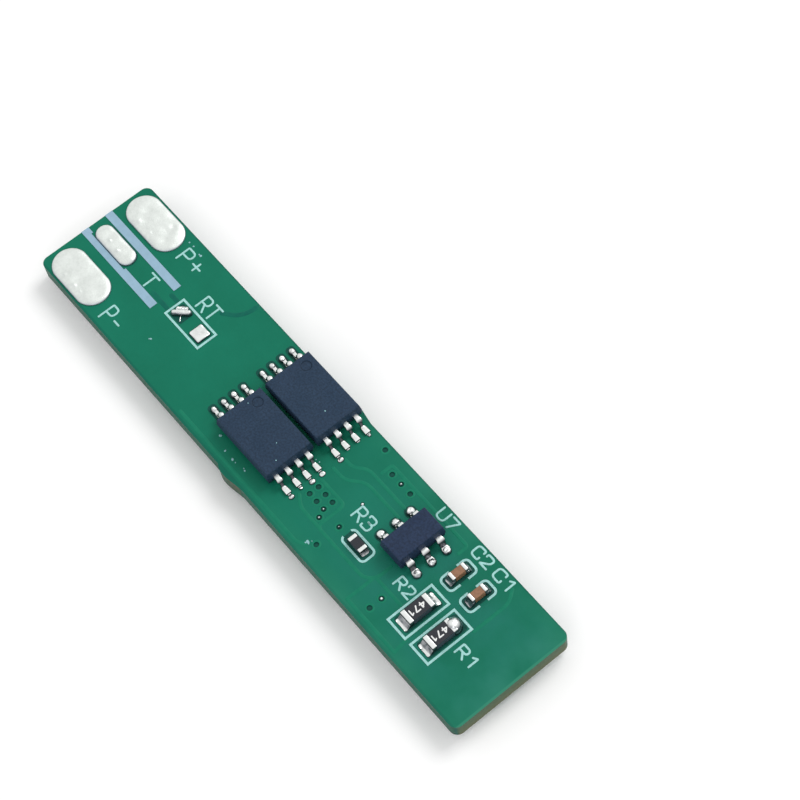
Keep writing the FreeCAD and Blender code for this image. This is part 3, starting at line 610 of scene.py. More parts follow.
def rounded_route(corners, radius=0.06, steps=6):
    """A route through corners (x, y, own radius), each rounded by a curve of second degree."""
    points = [np.array(corner[:2], dtype=float) for corner in corners]
    parts = [points[0][None]]
    share = np.linspace(0.0, 1.0, steps)[:, None]
    for before, here, after, corner in zip(points, points[1:], points[2:], corners[1:]):
        wanted = corner[2] if len(corner) > 2 else radius
        back, ahead = before - here, after - here
        reach = min(wanted, 0.49 * np.linalg.norm(back), 0.49 * np.linalg.norm(ahead))
        start = here + back / np.linalg.norm(back) * reach
        end = here + ahead / np.linalg.norm(ahead) * reach
        parts.append((1 - share) ** 2 * start + 2 * share * (1 - share) * here + share ** 2 * end)
    parts.append(points[-1][None])
    return np.concatenate(parts)


def stroke(route, wide, high, base, way=1.0, bend=5):
    """A low rounded line along a flat route, with round ends: half an ellipse across the line,
    narrowed over each end as a half circle."""
    ahead = np.gradient(route, axis=0)
    ahead /= np.linalg.norm(ahead, axis=1)[:, None]
    turn = np.linspace(math.pi / 2.0, 0.0, bend)[:-1]
    reach, narrow = (wide / 2.0) * np.sin(turn), np.cos(turn)
    start = route[0] - reach[:, None] * ahead[0]
    end = route[-1] + reach[::-1, None] * ahead[-1]
    line = np.concatenate([start, route, end])
    share = np.concatenate([narrow, np.ones(len(route)), narrow[::-1]])
    ahead = np.concatenate([np.repeat(ahead[:1], bend - 1, 0), ahead,
                            np.repeat(ahead[-1:], bend - 1, 0)])
    aside = np.stack([-ahead[:, 1], ahead[:, 0]], axis=1)
    angle = np.linspace(0.0, math.pi, 7)
    across = np.concatenate([np.cos(angle), [0.0]])
    lift = np.concatenate([np.sin(angle) ** 0.6, [0.0]])
    flat = line[:, None] + aside[:, None] * (share[:, None] * across * wide / 2.0)[..., None]
    rise = way * high * share[:, None] ** 0.5 * lift
    return np.dstack([flat, base + rise])


def closed_ends(rows):
    """Loops with a first and last row gathered into their middle, so that the ends close."""
    first, last = rows[:1].mean(axis=1, keepdims=True), rows[-1:].mean(axis=1, keepdims=True)
    count = rows.shape[1]
    return np.concatenate([np.repeat(first, count, 1), rows, np.repeat(last, count, 1)])


# The power that makes the oval across a strip blunt.
BLUNT = 0.35


def strip(route, widths, thick, side, around=20):
    """A strip with rounded edges carried along a route: a blunt oval across, as broad as its
    width there along the side, its thin way square to the route."""
    ahead = np.gradient(route, axis=0)
    ahead /= np.linalg.norm(ahead, axis=1)[:, None]
    normal = np.cross(side, ahead)
    turn = np.linspace(0.0, 2.0 * math.pi, around, endpoint=False)
    across = np.sign(np.cos(turn)) * np.abs(np.cos(turn)) ** BLUNT / 2.0
    out = np.sign(np.sin(turn)) * np.abs(np.sin(turn)) ** BLUNT * thick / 2.0
    broad = widths[:, None] * across[None, :]
    return closed_ends(route[:, None] + broad[..., None] * side
                       + out[None, :, None] * normal[:, None])


def plate(place, size, corner, base, way=1.0, high=0.006 * MM):
    """A thin flat plate with rounded corners: straight walls and a level top."""
    half = min(size) / 2.0
    stations = [(half, 0.0), (0.0, 0.0), (0.0, high), (half, high)]
    return block(place, size, corner, stations, base, way, side=2)


def drop(place, size, high, fullness, base, way=1.0, corner=None, rings=14, **steps):
    """A pillow on a rounded outline: the corners are round as far as its short side allows."""
    half = min(size) / 2.0
    corner = half if corner is None else corner
    return block(place, size, corner, pillow(half, high, fullness, rings), base, way, **steps)


def block_over(name, corner, stations, way=1.0, **steps):
    """A block in the place of a solid: from its bottom up or, the other way, its top down."""
    low, high = box_of(name)
    base = low[2] if way > 0.0 else high[2]
    return block((low + high)[:2] / 2.0, (high - low)[:2], corner, stations, base, way, **steps)


def washer(place, inner, outer, high, base, way=1.0, around=28):
    """A ring with a rounded top: a half oval between two radii, carried round."""
    turn = np.linspace(0.0, math.pi, 7)
    middle, half = (inner + outer) / 2.0, (outer - inner) / 2.0
    radius = middle + half * np.cos(turn)
    lift = high * np.sin(turn)
    angle = np.linspace(0.0, 2.0 * math.pi, around, endpoint=False)
    flat = np.stack([np.cos(angle), np.sin(angle)], axis=1)
    loops = np.asarray(place) + radius[:, None, None] * flat
    return np.dstack([loops, np.broadcast_to((base + way * lift)[:, None], loops.shape[:2])])


# Copper under the mask, as routes of corners in millimetres from the output and negative edges.
UPPER_TRACKS = {
    "gate_upper": ((20.25, 4.25), (21.15, 4.25, 0.5), (21.95, 5.0, 0.5), (24.55, 5.0)),
    "gate_lower": ((20.25, 5.0), (20.85, 5.0, 0.4), (21.45, 5.55, 0.4), (24.35, 5.55)),
    "middle_box": ((20.35, 3.4), (22.25, 3.4, 0.3), (22.25, 1.65, 0.3), (25.95, 1.65, 0.5),
                   (26.4, 2.15, 0.4), (26.4, 3.05)),
    "row_box": ((22.1, 5.9), (22.1, 6.58, 0.15), (28.05, 6.58, 0.2), (28.05, 6.0)),
    "near_plane": ((12.4, 0.34), (22.2, 0.34, 0.3), (22.6, 0.62)),
    "link_plane": ((20.25, 2.05), (20.85, 1.67, 0.3), (22.25, 1.67)),
    "lower_box": ((26.3, 0.35), (26.3, 2.13, 0.05), (28.3, 2.13)),
    "lower_box_end": ((29.85, 1.35), (30.0, 0.35, 0.05), (26.3, 0.35)),
    "end_plane": ((31.25, 6.75), (31.7, 6.15, 0.4), (31.7, 3.95)),
}

# Gaps between areas of copper, where the mask is darker.
UPPER_GAPS = {
    "supply": ((9.2, 5.45), (9.85, 5.95, 0.5), (10.1, 6.5, 0.4), (10.15, 7.05)),
    "sense": ((5.7, 3.45), (7.0, 3.45)),
    "strip_end": ((6.5, 4.1), (7.0, 4.1)),
}

UNDER_TRACKS = {
    "middle_strip": ((0.45, 3.3), (15.8, 3.3)),
    "middle_strip_end": ((0.45, 4.0), (9.0, 4.0), (9.9, 4.9, 0.5), (9.9, 5.2)),
    "cell_plane": ((16.0, 3.3), (16.0, 5.0, 0.5), (17.2, 6.4, 0.5), (20.5, 6.5)),
    "low_rim": ((10.2, 0.4), (22.0, 0.4)),
    "high_rim": ((10.2, 6.85), (22.0, 6.85)),
    "tab_band": ((24.2, 1.5), (24.2, 2.4), (24.6, 2.9, 0.3), (24.6, 5.5)),
}

# Vias that the mask covers, in the same millimetres.
COVERED_VIAS = ((18.4, 6.07), (17.8, 6.07), (17.25, 6.07), (18.4, 5.53), (17.8, 5.53),
                (17.25, 5.53), (16.7, 5.53), (18.2, 2.41), (17.65, 2.41), (18.2, 2.95),
                (17.65, 2.95))

# Letters as strokes in a box one high: corners (x, y, own radius).
LETTERS = {
    "B": (((0.0, 0.0), (0.0, 1.0), (0.58, 1.0, 0.2), (0.58, 0.53, 0.2), (0.0, 0.53)),
          ((0.0, 0.53), (0.64, 0.53, 0.22), (0.64, 0.0, 0.22), (0.0, 0.0))),
    "C": (((0.64, 0.76), (0.64, 1.0, 0.26), (0.0, 1.0, 0.3), (0.0, 0.0, 0.3),
           (0.64, 0.0, 0.26), (0.64, 0.24)),),
    "M": (((0.0, 0.0), (0.0, 1.0), (0.38, 0.4), (0.76, 1.0), (0.76, 0.0)),),
    "P": (((0.0, 0.0), (0.0, 1.0), (0.62, 1.0, 0.25), (0.62, 0.48, 0.25), (0.0, 0.48)),),
    "R": (((0.0, 0.0), (0.0, 1.0), (0.62, 1.0, 0.25), (0.62, 0.48, 0.25), (0.0, 0.48)),
          ((0.3, 0.48), (0.64, 0.0))),
    "T": (((0.0, 1.0), (0.66, 1.0)), ((0.33, 1.0), (0.33, 0.0))),
    "U": (((0.0, 1.0), (0.0, 0.0, 0.3), (0.64, 0.0, 0.3), (0.64, 1.0)),),
    "1": (((0.1, 0.78), (0.36, 1.0), (0.36, 0.0)),),
    "2": (((0.0, 0.78), (0.0, 1.0, 0.25), (0.6, 1.0, 0.28), (0.6, 0.55, 0.2), (0.0, 0.0),
           (0.64, 0.0)),),
    "3": (((0.0, 0.84), (0.0, 1.0, 0.2), (0.6, 1.0, 0.26), (0.6, 0.54, 0.2), (0.22, 0.54)),
          ((0.22, 0.54), (0.64, 0.54, 0.22), (0.64, 0.0, 0.26), (0.0, 0.0, 0.2), (0.0, 0.16))),
    "4": (((0.46, 0.0), (0.46, 1.0), (0.0, 0.32), (0.64, 0.32)),),
    "7": (((0.0, 1.0), (0.62, 1.0), (0.2, 0.0)),),
    "+": (((0.06, 0.5), (0.66, 0.5)), ((0.36, 0.8), (0.36, 0.2))),
    "-": (((0.1, 0.45), (0.56, 0.45)),),
}
LETTER_GAP = 0.26

# Words: the box that each fills, as its start and end along the board and across it.
UPPER_WORDS = {
    "P+": (4.8, 6.3, 5.66, 6.56), "P-": (4.93, 6.1, 0.42, 1.45), "T": (4.7, 5.32, 3.34, 4.16),
    "RT": (7.9, 9.15, 4.66, 5.54), "U7": (25.67, 26.89, 6.46, 7.08),
    "C2": (28.4, 29.58, 6.46, 7.08), "C1": (30.0, 31.08, 6.46, 7.08),
    "R3": (22.9, 24.12, 3.3, 4.06), "R2": (27.16, 28.28, 2.56, 3.16),
    "R1": (31.9, 32.94, 2.56, 3.16),
}
UNDER_WORDS = {
    "BM": ((24.65, 22.8, 0.47, 1.33), (24.65, 22.8, 6.16, 7.02)),
    "B-": ((11.3, 9.7, 0.52, 1.33),),
    "B+": ((11.6, 10.1, 6.21, 7.02),),
}


# Bumps and dents in the tin of the lands, in millimetres: place from the middle, radius and
# height.
LAND_MARKS = {
    "p_plus_pad": ((0.93, 0.55, 0.16, -0.05), (0.3, -0.6, 0.1, 0.04), (-0.7, -0.6, 0.09, 0.03)),
    "p_minus_pad": ((-0.66, -0.62, 0.09, 0.05), (0.24, -0.62, 0.09, 0.05),
                    (0.74, -0.6, 0.08, 0.05)),
    "t_pad": ((-0.42, -0.1, 0.09, 0.05), (0.38, -0.15, 0.1, 0.05)),
}


def word_strokes(word, corner, along, upward, high, wide, ink, base, way=1.0):
    """The strokes of a word: letters side by side from its lower corner, each as wide as its
    own strokes, squeezed to fill the width."""
    widths = [max(point[0] for line in LETTERS[letter] for point in line) for letter in word]
    natural = sum(widths) + LETTER_GAP * (len(word) - 1)
    squeeze = wide / (natural * high)
    grids, pen = [], 0.0
    for letter, own in zip(word, widths):
        for line in LETTERS[letter]:
            route = rounded_route(line)
            across = (route[:, :1] + pen) * squeeze * high
            points = np.asarray(corner) + across * along + route[:, 1:] * high * upward
            grids.append(closed_ends(stroke(points, ink, bpy.context.scene.board_layout.ink_high,
                                            base, way)))
        pen += own + LETTER_GAP
    return grids


# Operators

class BOARD_OT_finishes(bpy.types.Operator):
    """Give every solid of the model its finish"""
    bl_idname = "board.finishes"
    bl_label = "Finishes"

    def execute(self, context):
        """Puts the finish of each slot on the solids that keep their own shape."""
        make_effects()
        make_finishes(context.scene.board_colours, context.scene.board_layout)
        by_slot = {"solder_mask": "mask", "solder": "solder", "nickel": "nickel",
                   "package_epoxy": "epoxy", "lead_metal": "lead", "alumina": "alumina",
                   "resistor_glaze": "glaze", "capacitor_ceramic": "ceramic",
                   "legend_ink": "ink"}
        for name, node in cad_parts.items():
            for socket in node.material_slots:
                known = [finish for slot, finish in by_slot.items()
                         if socket.material and slot in socket.material.name]
                if not known:
                    raise RuntimeError(f"{name} has a slot without a finish: {socket.name}")
                socket.material = FINISHES["ink_strip" if name == "legend_strips" else known[0]]
        return {"FINISHED"}


class BOARD_OT_copper(bpy.types.Operator):
    """Build the relief of the copper under the mask, on both faces"""
    bl_idname = "board.copper"
    bl_label = "Copper relief"

    def execute(self, context):
        """Carries a low rounded profile along every route."""
        sizes = context.scene.board_layout
        for name, tracks, base, way, finish, wider in (
                ("upper_tracks", UPPER_TRACKS, TOP_FACE, 1.0, "track", 1.3),
                ("upper_gaps", UPPER_GAPS, TOP_FACE, 1.0, "gap", 1.8),
                ("under_tracks", UNDER_TRACKS, UNDERSIDE, -1.0, "track", 1.0)):
            grids = [closed_ends(stroke(spot(0.0, 0.0) + rounded_route(route) * MM,
                                        wider * sizes.track_wide, sizes.track_high, base, way))
                     for route in tracks.values()]
            make_piece(name, grids, finish)
        return {"FINISHED"}


# How deep the resin lies in an open via, and how high and how sunk the tin of a filled one is.
VIA_DEEP, VIA_TIN_HIGH, VIA_TIN_SUNK = 0.06 * MM, 0.11 * MM, 0.05 * MM


class BOARD_OT_vias(bpy.types.Operator):
    """Build the rings of the vias and what closes them"""
    bl_idname = "board.vias"
    bl_label = "Vias"

    def execute(self, context):
        """Sets a low ring round each via, dark resin in each hole and tin in some of them."""
        sizes = context.scene.board_layout
        radius = sizes.via_inner
        outer, high = sizes.via_outer, sizes.track_high
        rings, resin, tin = [], [], []

        def round_plate(place, reach, base, *others):
            resin.append(plate(place, (2.0 * reach,) * 2, reach, base, *others))
        for along, across in OPEN_VIAS:
            place = spot(along, across)
            for base, way in ((TOP_FACE, 1.0), (UNDERSIDE, -1.0)):
                rings.append(washer(place, radius, outer, high, base, way))
            round_plate(place, 0.98 * radius, UNDERSIDE + VIA_DEEP, 1.0,
                        TOP_FACE - UNDERSIDE - 2.0 * VIA_DEEP)
        for along, across in COVERED_VIAS:
            place = spot(along, across)
            rings.append(washer(place, 0.8 * radius, outer, high, UNDERSIDE, -1.0))
            round_plate(place, 0.85 * radius, UNDERSIDE, -1.0)
        for along, across, size in FILLED_VIAS:
            place = spot(along, across)
            round_plate(place, 0.6 * size * MM, TOP_FACE)
            tin.append(drop(place, (size * MM,) * 2, VIA_TIN_HIGH, 2.0, TOP_FACE - VIA_TIN_SUNK,
                            rings=7, side=0))
        make_piece("via_rings", rings, "track", ring=True)
        make_piece("via_resin", resin, "bare")
        make_piece("via_tin", tin, "solder")
        return {"FINISHED"}


def places_in_row(middle, count, pitch):
    """Places side by side at a pitch, about a middle."""
    return [middle + (number - (count - 1) / 2.0) * pitch for number in range(count)]


def block_of_vias(centre, columns, rows, pitch=0.57):
    """Places of a grid of vias round a centre, in millimetres."""
    return [(along, across) for along in places_in_row(centre[0], columns, pitch)
            for across in places_in_row(centre[1], rows, pitch)]


def lead_row(sizes, name):
    """Pitch, width, number and shoulder of the leads on a side of a package."""
    if name == "u7":
        return sizes.three_pitch, sizes.three_wide, sizes.three_count, sizes.short_knee
    return sizes.four_pitch, sizes.four_wide, sizes.four_count, sizes.knee


OPEN_VIAS = [(21.19, 6.86), (21.92, 2.02), (22.99, 2.45), (22.99, 1.0), (27.4, 1.635),
             (27.4, 0.885), *block_of_vias((21.14, 2.755), 3, 2),
             *block_of_vias((23.22, 6.255), 3, 1, 0.72)]

# Vias that hold tin: place and width of the tin, in millimetres. The last is a stray ball.
FILLED_VIAS = ((21.92, 2.02, 0.15), (22.99, 2.45, 0.11), (27.4, 1.635, 0.2), (21.71, 2.47, 0.14),
               (23.22, 6.255, 0.15), (22.8, 4.1, 0.2))


# Openings in the mask: their corners at chips and bare drops, the chips' own clearance, and the
# clearance beside a lead and before a package's body.
CHIP_CORNER, DROP_CORNER, CHIP_CLEARANCE = 0.15 * MM, 0.12 * MM, 0.07 * MM
BESIDE_LEAD, BESIDE_BODY = 0.08 * MM, 0.3 * MM


class BOARD_OT_clearances(bpy.types.Operator):
    """Lay the bare laminate that shows between the lands and the mask, whose dark tone also stands in
    for the shade round each land
    """
    bl_idname = "board.clearances"
    bl_label = "Mask clearances"

    def execute(self, context):
        """Thin plates with rounded corners, wider than the land by the clearance."""
        layout, packages = context.scene.board_layout, context.scene.package_sizes
        more = layout.clearance
        plates = []

        def surround(low, high, corner, extra=more):
            size = high[:2] - low[:2] + 2.0 * extra
            plates.append(plate((low + high)[:2] / 2.0, size, corner, TOP_FACE))
        low, high = box_of("t_pad")
        surround(low, high, (high - low)[1] / 2.0 + more)
        for name in ("r1", "r2", "r3", "c1", "c2"):
            surround(*box_of(f"{name}_solder"), CHIP_CORNER, CHIP_CLEARANCE)
        low, high = box_of("rt_solder")
        wide = high[1] - low[1]
        for start in (low[0], high[0] - wide):
            surround(np.array([start, low[1]]), np.array([start + wide, high[1]]), DROP_CORNER)
        for name in ("q1", "q2", "u7"):
            pitch, wide, count = lead_row(packages, name)[:3]
            low, high = box_of(f"{name}_solder")
            body_low, body_high = box_of(f"{name}_body")
            inner = (body_high - body_low)[0] / 2.0 + BESIDE_BODY
            middle, half = (low + high) / 2.0, wide / 2.0 + BESIDE_LEAD
            for across in places_in_row(middle[1], count, pitch):
                surround(np.array([low[0], across - half]),
                         np.array([middle[0] - inner, across + half]), half)
        # Partly painted shade: real mask openings, dark enough to stand also for the shade round the
        # lands.
        make_piece("mask_clearances_and_shade", plates, "bare")
        return {"FINISHED"}


# The drop with a ridge, part by part in millimetres: offset, size, corner, height, fullness and
# rings, turn in eighths of a circle, unevenness (seed, wave, height) and steps on a side.
RIDGED_DROP = (
    ((-0.01, 0.02), (1.16, 0.34), 0.17, 0.26, 2.4, 24, 1.0, (6, 0.5, 0.015), 20),
    ((-0.15, 0.15), (0.72, 0.44), 0.12, 0.14, 2.4, 18, 1.0, (8, 0.25, 0.03), 12),
    ((0.22, -0.24), (0.34, 0.07), 0.035, 0.05, 2.0, 8, -1.0, (1, 1.0, 0.0), 4),
)


class BOARD_OT_lands(bpy.types.Operator):
    """Build the tinned lands and the bare drops"""
    bl_idname = "board.lands"
    bl_label = "Tinned lands"

    def execute(self, context):
        """Pillows of tin with an uneven top, a ridged drop and a flat drop."""
        relief_high = context.scene.board_layout.pad_relief
        for number, (name, marks) in enumerate(LAND_MARKS.items()):
            low, high = box_of(name)
            half, tall = (high - low)[1] / 2.0, (high - low)[2]
            relief = marked(lumps(number + 3, 0.9 * MM, relief_high), marks)
            land = block_over(name, half, pillow(half, 0.9 * tall, 3.6, 30), relief=relief,
                              bend=24, side=24)
            make_piece(name.replace("pad", "land"), [land], "tin", stands_for=(name,))
        low, high = box_of("rt_solder")
        wide = high[1] - low[1]
        half = wide / 2.0
        middle = (low[1] + high[1]) / 2.0
        centre = np.array([low[0] + half, middle])
        drops = []
        for offset, size, corner, rise, full, rings, turn, rough, side in RIDGED_DROP:
            seed, wave, uneven = rough
            drops.append(drop(centre + np.array(offset) * MM, np.array(size) * MM, rise * MM,
                              full, low[2], corner=corner * MM, rings=rings,
                              turn=turn * math.pi / 4.0, side=side,
                              relief=lumps(seed, wave * MM, uneven * MM)))
        smear = lumps(9, 0.5 * MM, 0.012 * MM)

        def grooved(x, y):
            """A shallow groove along the diagonal of a slightly uneven top."""
            off = (x - y) / math.sqrt(2.0)
            return smear(x, y) - 0.04 * MM * np.exp(-(off / (0.09 * MM)) ** 2)
        drops.append(drop((high[0] - half, middle), (wide, wide), 0.14 * MM, 5.0, low[2],
                          corner=0.1 * MM, rings=24, relief=grooved, side=28))
        make_piece("rt_drops", drops, "solder", sharp=50.0, stands_for=("rt_solder",))
        return {"FINISHED"}


# How much solder stands beyond each lead's tip at the component end, from the negative edge on.
TIP_SOLDER = {"q1": (1.0, 0.0, 0.0, 0.5), "q2": (0.9, 0.6, 1.0, 1.0), "u7": (1.0, 0.95, 0.95)}

# Lead widths, as shares of the width at shares of the route from the wall to the tip.
ROUTE_SHARES = (0.0, 0.3, 0.5, 0.7, 1.0)
WIDTH_SHARES = {"transistor": (1.1, 1.4, 0.75, 0.6, 1.3), "chip": (0.9, 1.1, 0.95, 0.8, 1.1)}

# Solder mounds at the tips, in millimetres: length, way beyond the tip and height. A crescent
# stands at the component end of the transistors.
MOUNDS = {"crescent": (0.3, 0.22, 0.11), "transistor": (0.44, -0.05, 0.24),
          "chip": (0.5, 0.02, 0.24)}
MOUND_WIDER = 0.12

# The flat skirt of solder under a foot, and a bright solder drop on a transistor's shoulder: a painted
# highlight for the glint on the bend of each lead at the output side.
SKIRT_BEYOND, SKIRT_HIGH = 0.1 * MM, 0.06 * MM
KNEE_HIGHLIGHT_SIZE, KNEE_HIGHLIGHT_HIGH, KNEE_HIGHLIGHT_SUNK = np.array([0.38, 0.36]) * MM, 0.17 * MM, 0.02 * MM

# How deep a lead starts in the wall, how far a transistor's foot goes beyond the solid's at the
# component end, and how far short of it all feet stop at the output end.
LEAD_DEEP, FOOT_BEYOND, FOOT_SHORT = 0.12 * MM, 0.17 * MM, 0.12 * MM

# The round mark: how far its ring, a darker copy of the moulding painted as shade on the dent's
# sloping rim, lies in and out of its rim, the ring's height, and its slope.
RING_IN, RING_OUT, RING_HIGH, MARK_SLOPE = 0.06 * MM, 0.01 * MM, 0.008 * MM, 0.08 * MM
MOULDING_CORNER = 0.07 * MM


class BOARD_OT_packages(bpy.types.Operator):
    """Build the moulded packages, their leads and the solder under them"""
    bl_idname = "board.packages"
    bl_label = "Packages"

    def execute(self, context):
        """Bodies with rounded edges, and gull-wing leads that stand in mounds of solder."""
        sizes = context.scene.package_sizes
        rings = []
        for name in ("q1", "q2", "u7"):
            low, high = box_of(f"{name}_body")
            long, wide = (high - low)[:2]
            mark = np.array([sizes.dimple_in - long / 2.0, wide / 2.0 - sizes.dimple_in])
            self.make_body(name, low, high, mark, sizes)
            # Painted shade: a ring of darker moulding on the round mark's sloping rim.
            if name != "u7":
                rings.append(washer((low + high)[:2] / 2.0 + mark, sizes.dimple - RING_IN,
                                    sizes.dimple + RING_OUT, RING_HIGH,
                                    high[2] - 0.5 * sizes.dimple_deep))
            self.make_leads(name, low, high, sizes)
        make_piece("package_marks", rings, "mark", ring=True)
        return {"FINISHED"}

    def make_body(self, name, low, high, mark, sizes):
        """A moulded block: walls that draw in from their middle, rounded edges and, but for the
        control chip, the round mark as a dent with a sloping rim."""
        tall, half = (high - low)[2], (high - low)[:2].min() / 2.0
        edge, draft = sizes.edge, sizes.draft
        top = np.linspace(draft + edge, half, 44)[1:]
        turn = np.linspace(0.0, math.pi / 2.0, 6)
        stations = np.concatenate([
            [(half, 0.0), (draft + edge, 0.0), (draft, edge), (0.0, tall / 2.0)],
            np.stack([draft + edge * (1.0 - np.cos(turn)),
                      tall - edge * (1.0 - np.sin(turn))], axis=1),
            np.stack([top, np.full(len(top), tall)], axis=1)])
        faint = lumps(31, 1.4 * MM, 0.004 * MM)

        def dented(x, y):
            away = np.hypot(x - mark[0], y - mark[1])
            slope = np.clip((sizes.dimple - away) / MARK_SLOPE, 0.0, 1.0)
            return faint(x, y) - sizes.dimple_deep * slope * slope * (3.0 - 2.0 * slope)
        relief, finish = (faint, "epoxy_dark") if name == "u7" else (dented, "epoxy")
        body = block_over(f"{name}_body", MOULDING_CORNER, stations, relief=relief, bend=5,
                          side=56)
        make_piece(f"{name}_moulding", [body], finish,
                   stands_for=(f"{name}_body",))

    def make_leads(self, name, low, high, sizes):
        """Strips from the wall over a bend, down a leg and out along a foot that widens, and
        the solder: a mound over each toe at the output side, a drop beyond each tip at the
        other. At the output side of the transistors a bright drop on each shoulder is a painted
        highlight for the glint on the lead's bend."""
        pitch, wide, count, shoulder = lead_row(sizes, name)
        four = name != "u7"
        kind = "transistor" if four else "chip"
        centre, half = (low + high) / 2.0, (high - low)[0] / 2.0
        thick = sizes.lead_thick
        lead_low, lead_high = box_of(f"{name}_leads")
        tip = (lead_high - lead_low)[0] / 2.0
        foot, wrist = lead_low[2] + thick / 2.0, centre[2]
        heel = half + shoulder + (wrist - foot) / math.tan(sizes.leg_slope)
        corners = [(half - LEAD_DEEP, wrist), (half + shoulder, wrist), (heel, foot),
                   (tip + (FOOT_BEYOND if four else 0.0), foot)]
        flat = rounded_route(corners, sizes.lead_bend, 9)
        share = np.linspace(0.0, 1.0, len(flat))
        widths = wide * np.interp(share, ROUTE_SHARES, WIDTH_SHARES[kind])
        under = (tip - heel + SKIRT_BEYOND, 0.9 * wide)
        draw = np.random.default_rng(11 + count)
        leads, solder = [], []
        for way in (-1.0, 1.0):
            near = way < 0.0
            reach = tip - (FOOT_SHORT if near else 0.0)
            away = centre[0] + way * np.minimum(flat[:, 0], reach)
            broad = np.clip(widths, 0.6 * wide, 0.8 * wide) if near else widths
            for row, y in enumerate(places_in_row(centre[1], count, pitch)):
                route = np.stack([away, np.full(len(flat), y), flat[:, 1]], axis=1)
                leads.append(strip(route, broad, thick, np.array([0.0, 1.0, 0.0])))
                # Painted highlight: a bright drop on the shoulder stands in for the glint on the
                # lead's bend.
                if near and four:
                    solder.append(drop((centre[0] - half - 0.5 * shoulder, y), KNEE_HIGHLIGHT_SIZE,
                                       KNEE_HIGHLIGHT_HIGH, 2.2, wrist - KNEE_HIGHLIGHT_SUNK, side=4))
                uneven = lumps(int(draw.integers(99)), 0.3 * MM, 0.02 * MM)
                solder.append(block((centre[0] + way * (heel + tip) / 2.0, y), under,
                                    0.3 * under[1], pillow(under[1] / 2.0, SKIRT_HIGH, 2.0),
                                    TOP_FACE, side=4))
                amount = 1.0 if near else TIP_SOLDER[name][row]
                if amount:
                    crescent = four and not near
                    long, beyond, rise = MOUNDS["crescent" if crescent else kind]
                    size = np.array([long, wide / MM + MOUND_WIDER]) * amount * MM
                    beyond *= amount if crescent else 1.0
                    solder.append(drop((centre[0] + way * (tip + beyond * MM), y), size,
                                       rise * MM, 2.2, TOP_FACE, relief=uneven, side=8))
        make_piece(f"{name}_gull_wings", leads, "lead",
                   stands_for=(f"{name}_leads",))
        make_piece(f"{name}_joints", solder, "solder", stands_for=(f"{name}_solder",))


# The ends of the chip parts, in millimetres: the length of a cap, the rounding of its edges and
# how much its overhang widens it, how far the solder goes beyond the solid's, the share of the
# way to the land's end where the slope ends, and its power.
CHIP_ENDS = {
    "r1": (0.27, 0.045, 0.012, 0.06, 0.55, 1.0), "r2": (0.27, 0.045, 0.012, 0.06, 0.55, 1.0),
    "r3": (0.22, 0.045, 0.012, -0.14, 1.0, 1.5), "c1": (0.2, 0.06, -0.03, -0.1, 1.0, 1.5),
    "c2": (0.2, 0.06, -0.03, -0.1, 1.0, 1.5),
}
LUMP = np.array([0.94, 0.9]) * MM
CAP_LONGER, CAP_HIGHER = 0.01 * MM, 0.006 * MM
SOLDER_WIDER, SOLDER_CORNER, SOLDER_THIN = 0.02 * MM, 0.1 * MM, 0.03 * MM
CERAMIC_CORNER, CERAMIC_EDGE = 0.04 * MM, 0.05 * MM


class BOARD_OT_chips(bpy.types.Operator):
    """Build the ends and the solder of the chip resistors and capacitors"""
    bl_idname = "board.chips"
    bl_label = "Chip parts"

    def execute(self, context):
        """Caps with rounded edges in hollow slopes of solder, and the capacitors' bodies."""
        for name, ends in CHIP_ENDS.items():
            self.make_ends(name, *ends)
            if name in ("c1", "c2"):
                low, high = box_of(f"{name}_body")
                size = high - low
                body = block_over(f"{name}_body", CERAMIC_CORNER,
                                  soft_box(size[:2].min() / 2.0, size[2], CERAMIC_EDGE))
                make_piece(f"{name}_ceramic", [body], "ceramic",
                           stands_for=(f"{name}_body",))
        return {"FINISHED"}

    def make_ends(self, name, cap, edge, wider, beyond, share, power):
        """A cap at each end along the part's axis, and beside it a plate of solder that rises
        to the cap. The upper end of r1 is a round lump instead."""
        low, high = box_of(f"{name}_terminals")
        solder_low, solder_high = box_of(f"{name}_solder")
        centre, size = (low + high) / 2.0, high - low
        axis = 0 if name == "r3" else 1
        cap, edge = cap * MM, edge * MM
        inner, outer = size[axis] / 2.0 - cap, size[axis] / 2.0
        land = centre[axis] - solder_low[axis] + beyond * MM
        uneven = lumps(ord(name[0]) + int(name[1]), 0.35 * MM, 0.012 * MM)

        def placed(away, long, wide):
            """The middle and the size of a box at a distance along the axis."""
            ahead = np.array([1.0 - axis, axis])
            return centre[:2] + away * ahead, long * ahead + wide * (1.0 - ahead)
        caps, slopes = [], []
        for way in (-1.0, 1.0):
            place, box = placed(way * (size[axis] - cap) / 2.0, cap + CAP_LONGER,
                                size[1 - axis] + wider * MM)
            caps.append(block(place, box, edge,
                              soft_box(box.min() / 2.0, size[2] + CAP_HIGHER, edge), low[2]))
            if name == "r1" and way > 0.0:
                continue
            place, box = placed(way * (inner + land) / 2.0, land - inner,
                                size[1 - axis] + SOLDER_WIDER)
            slope = meniscus(axis, way, (size[axis] - inner - land) / 2.0, (land - outer) * share,
                             0.5 * size[2], power)

            def relief(x, y, slope=slope):
                return slope(x, y) + uneven(x, y)
            slopes.append(block(place, box, SOLDER_CORNER,
                                flat_top(box.min() / 2.0, SOLDER_THIN), TOP_FACE, relief=relief,
                                side=12))
        if name == "r1":
            half = LUMP.min() / 2.0
            slopes.append(drop((centre[0], solder_high[1] - 0.95 * half), LUMP,
                               0.97 * (solder_high[2] - TOP_FACE), 2.2, TOP_FACE,
                               relief=lumps(5, 0.4 * MM, 0.02 * MM), side=8))
        make_piece(f"{name}_caps", caps, "lead", stands_for=(f"{name}_terminals",))
        make_piece(f"{name}_fillets", slopes, "solder", stands_for=(f"{name}_solder",))


# The numbers on the resistors: their height, their length and their stroke.
NUMBER_TALL, NUMBER_LONG, NUMBER_INK_WIDE = 0.31 * MM, 0.84 * MM, 0.075 * MM


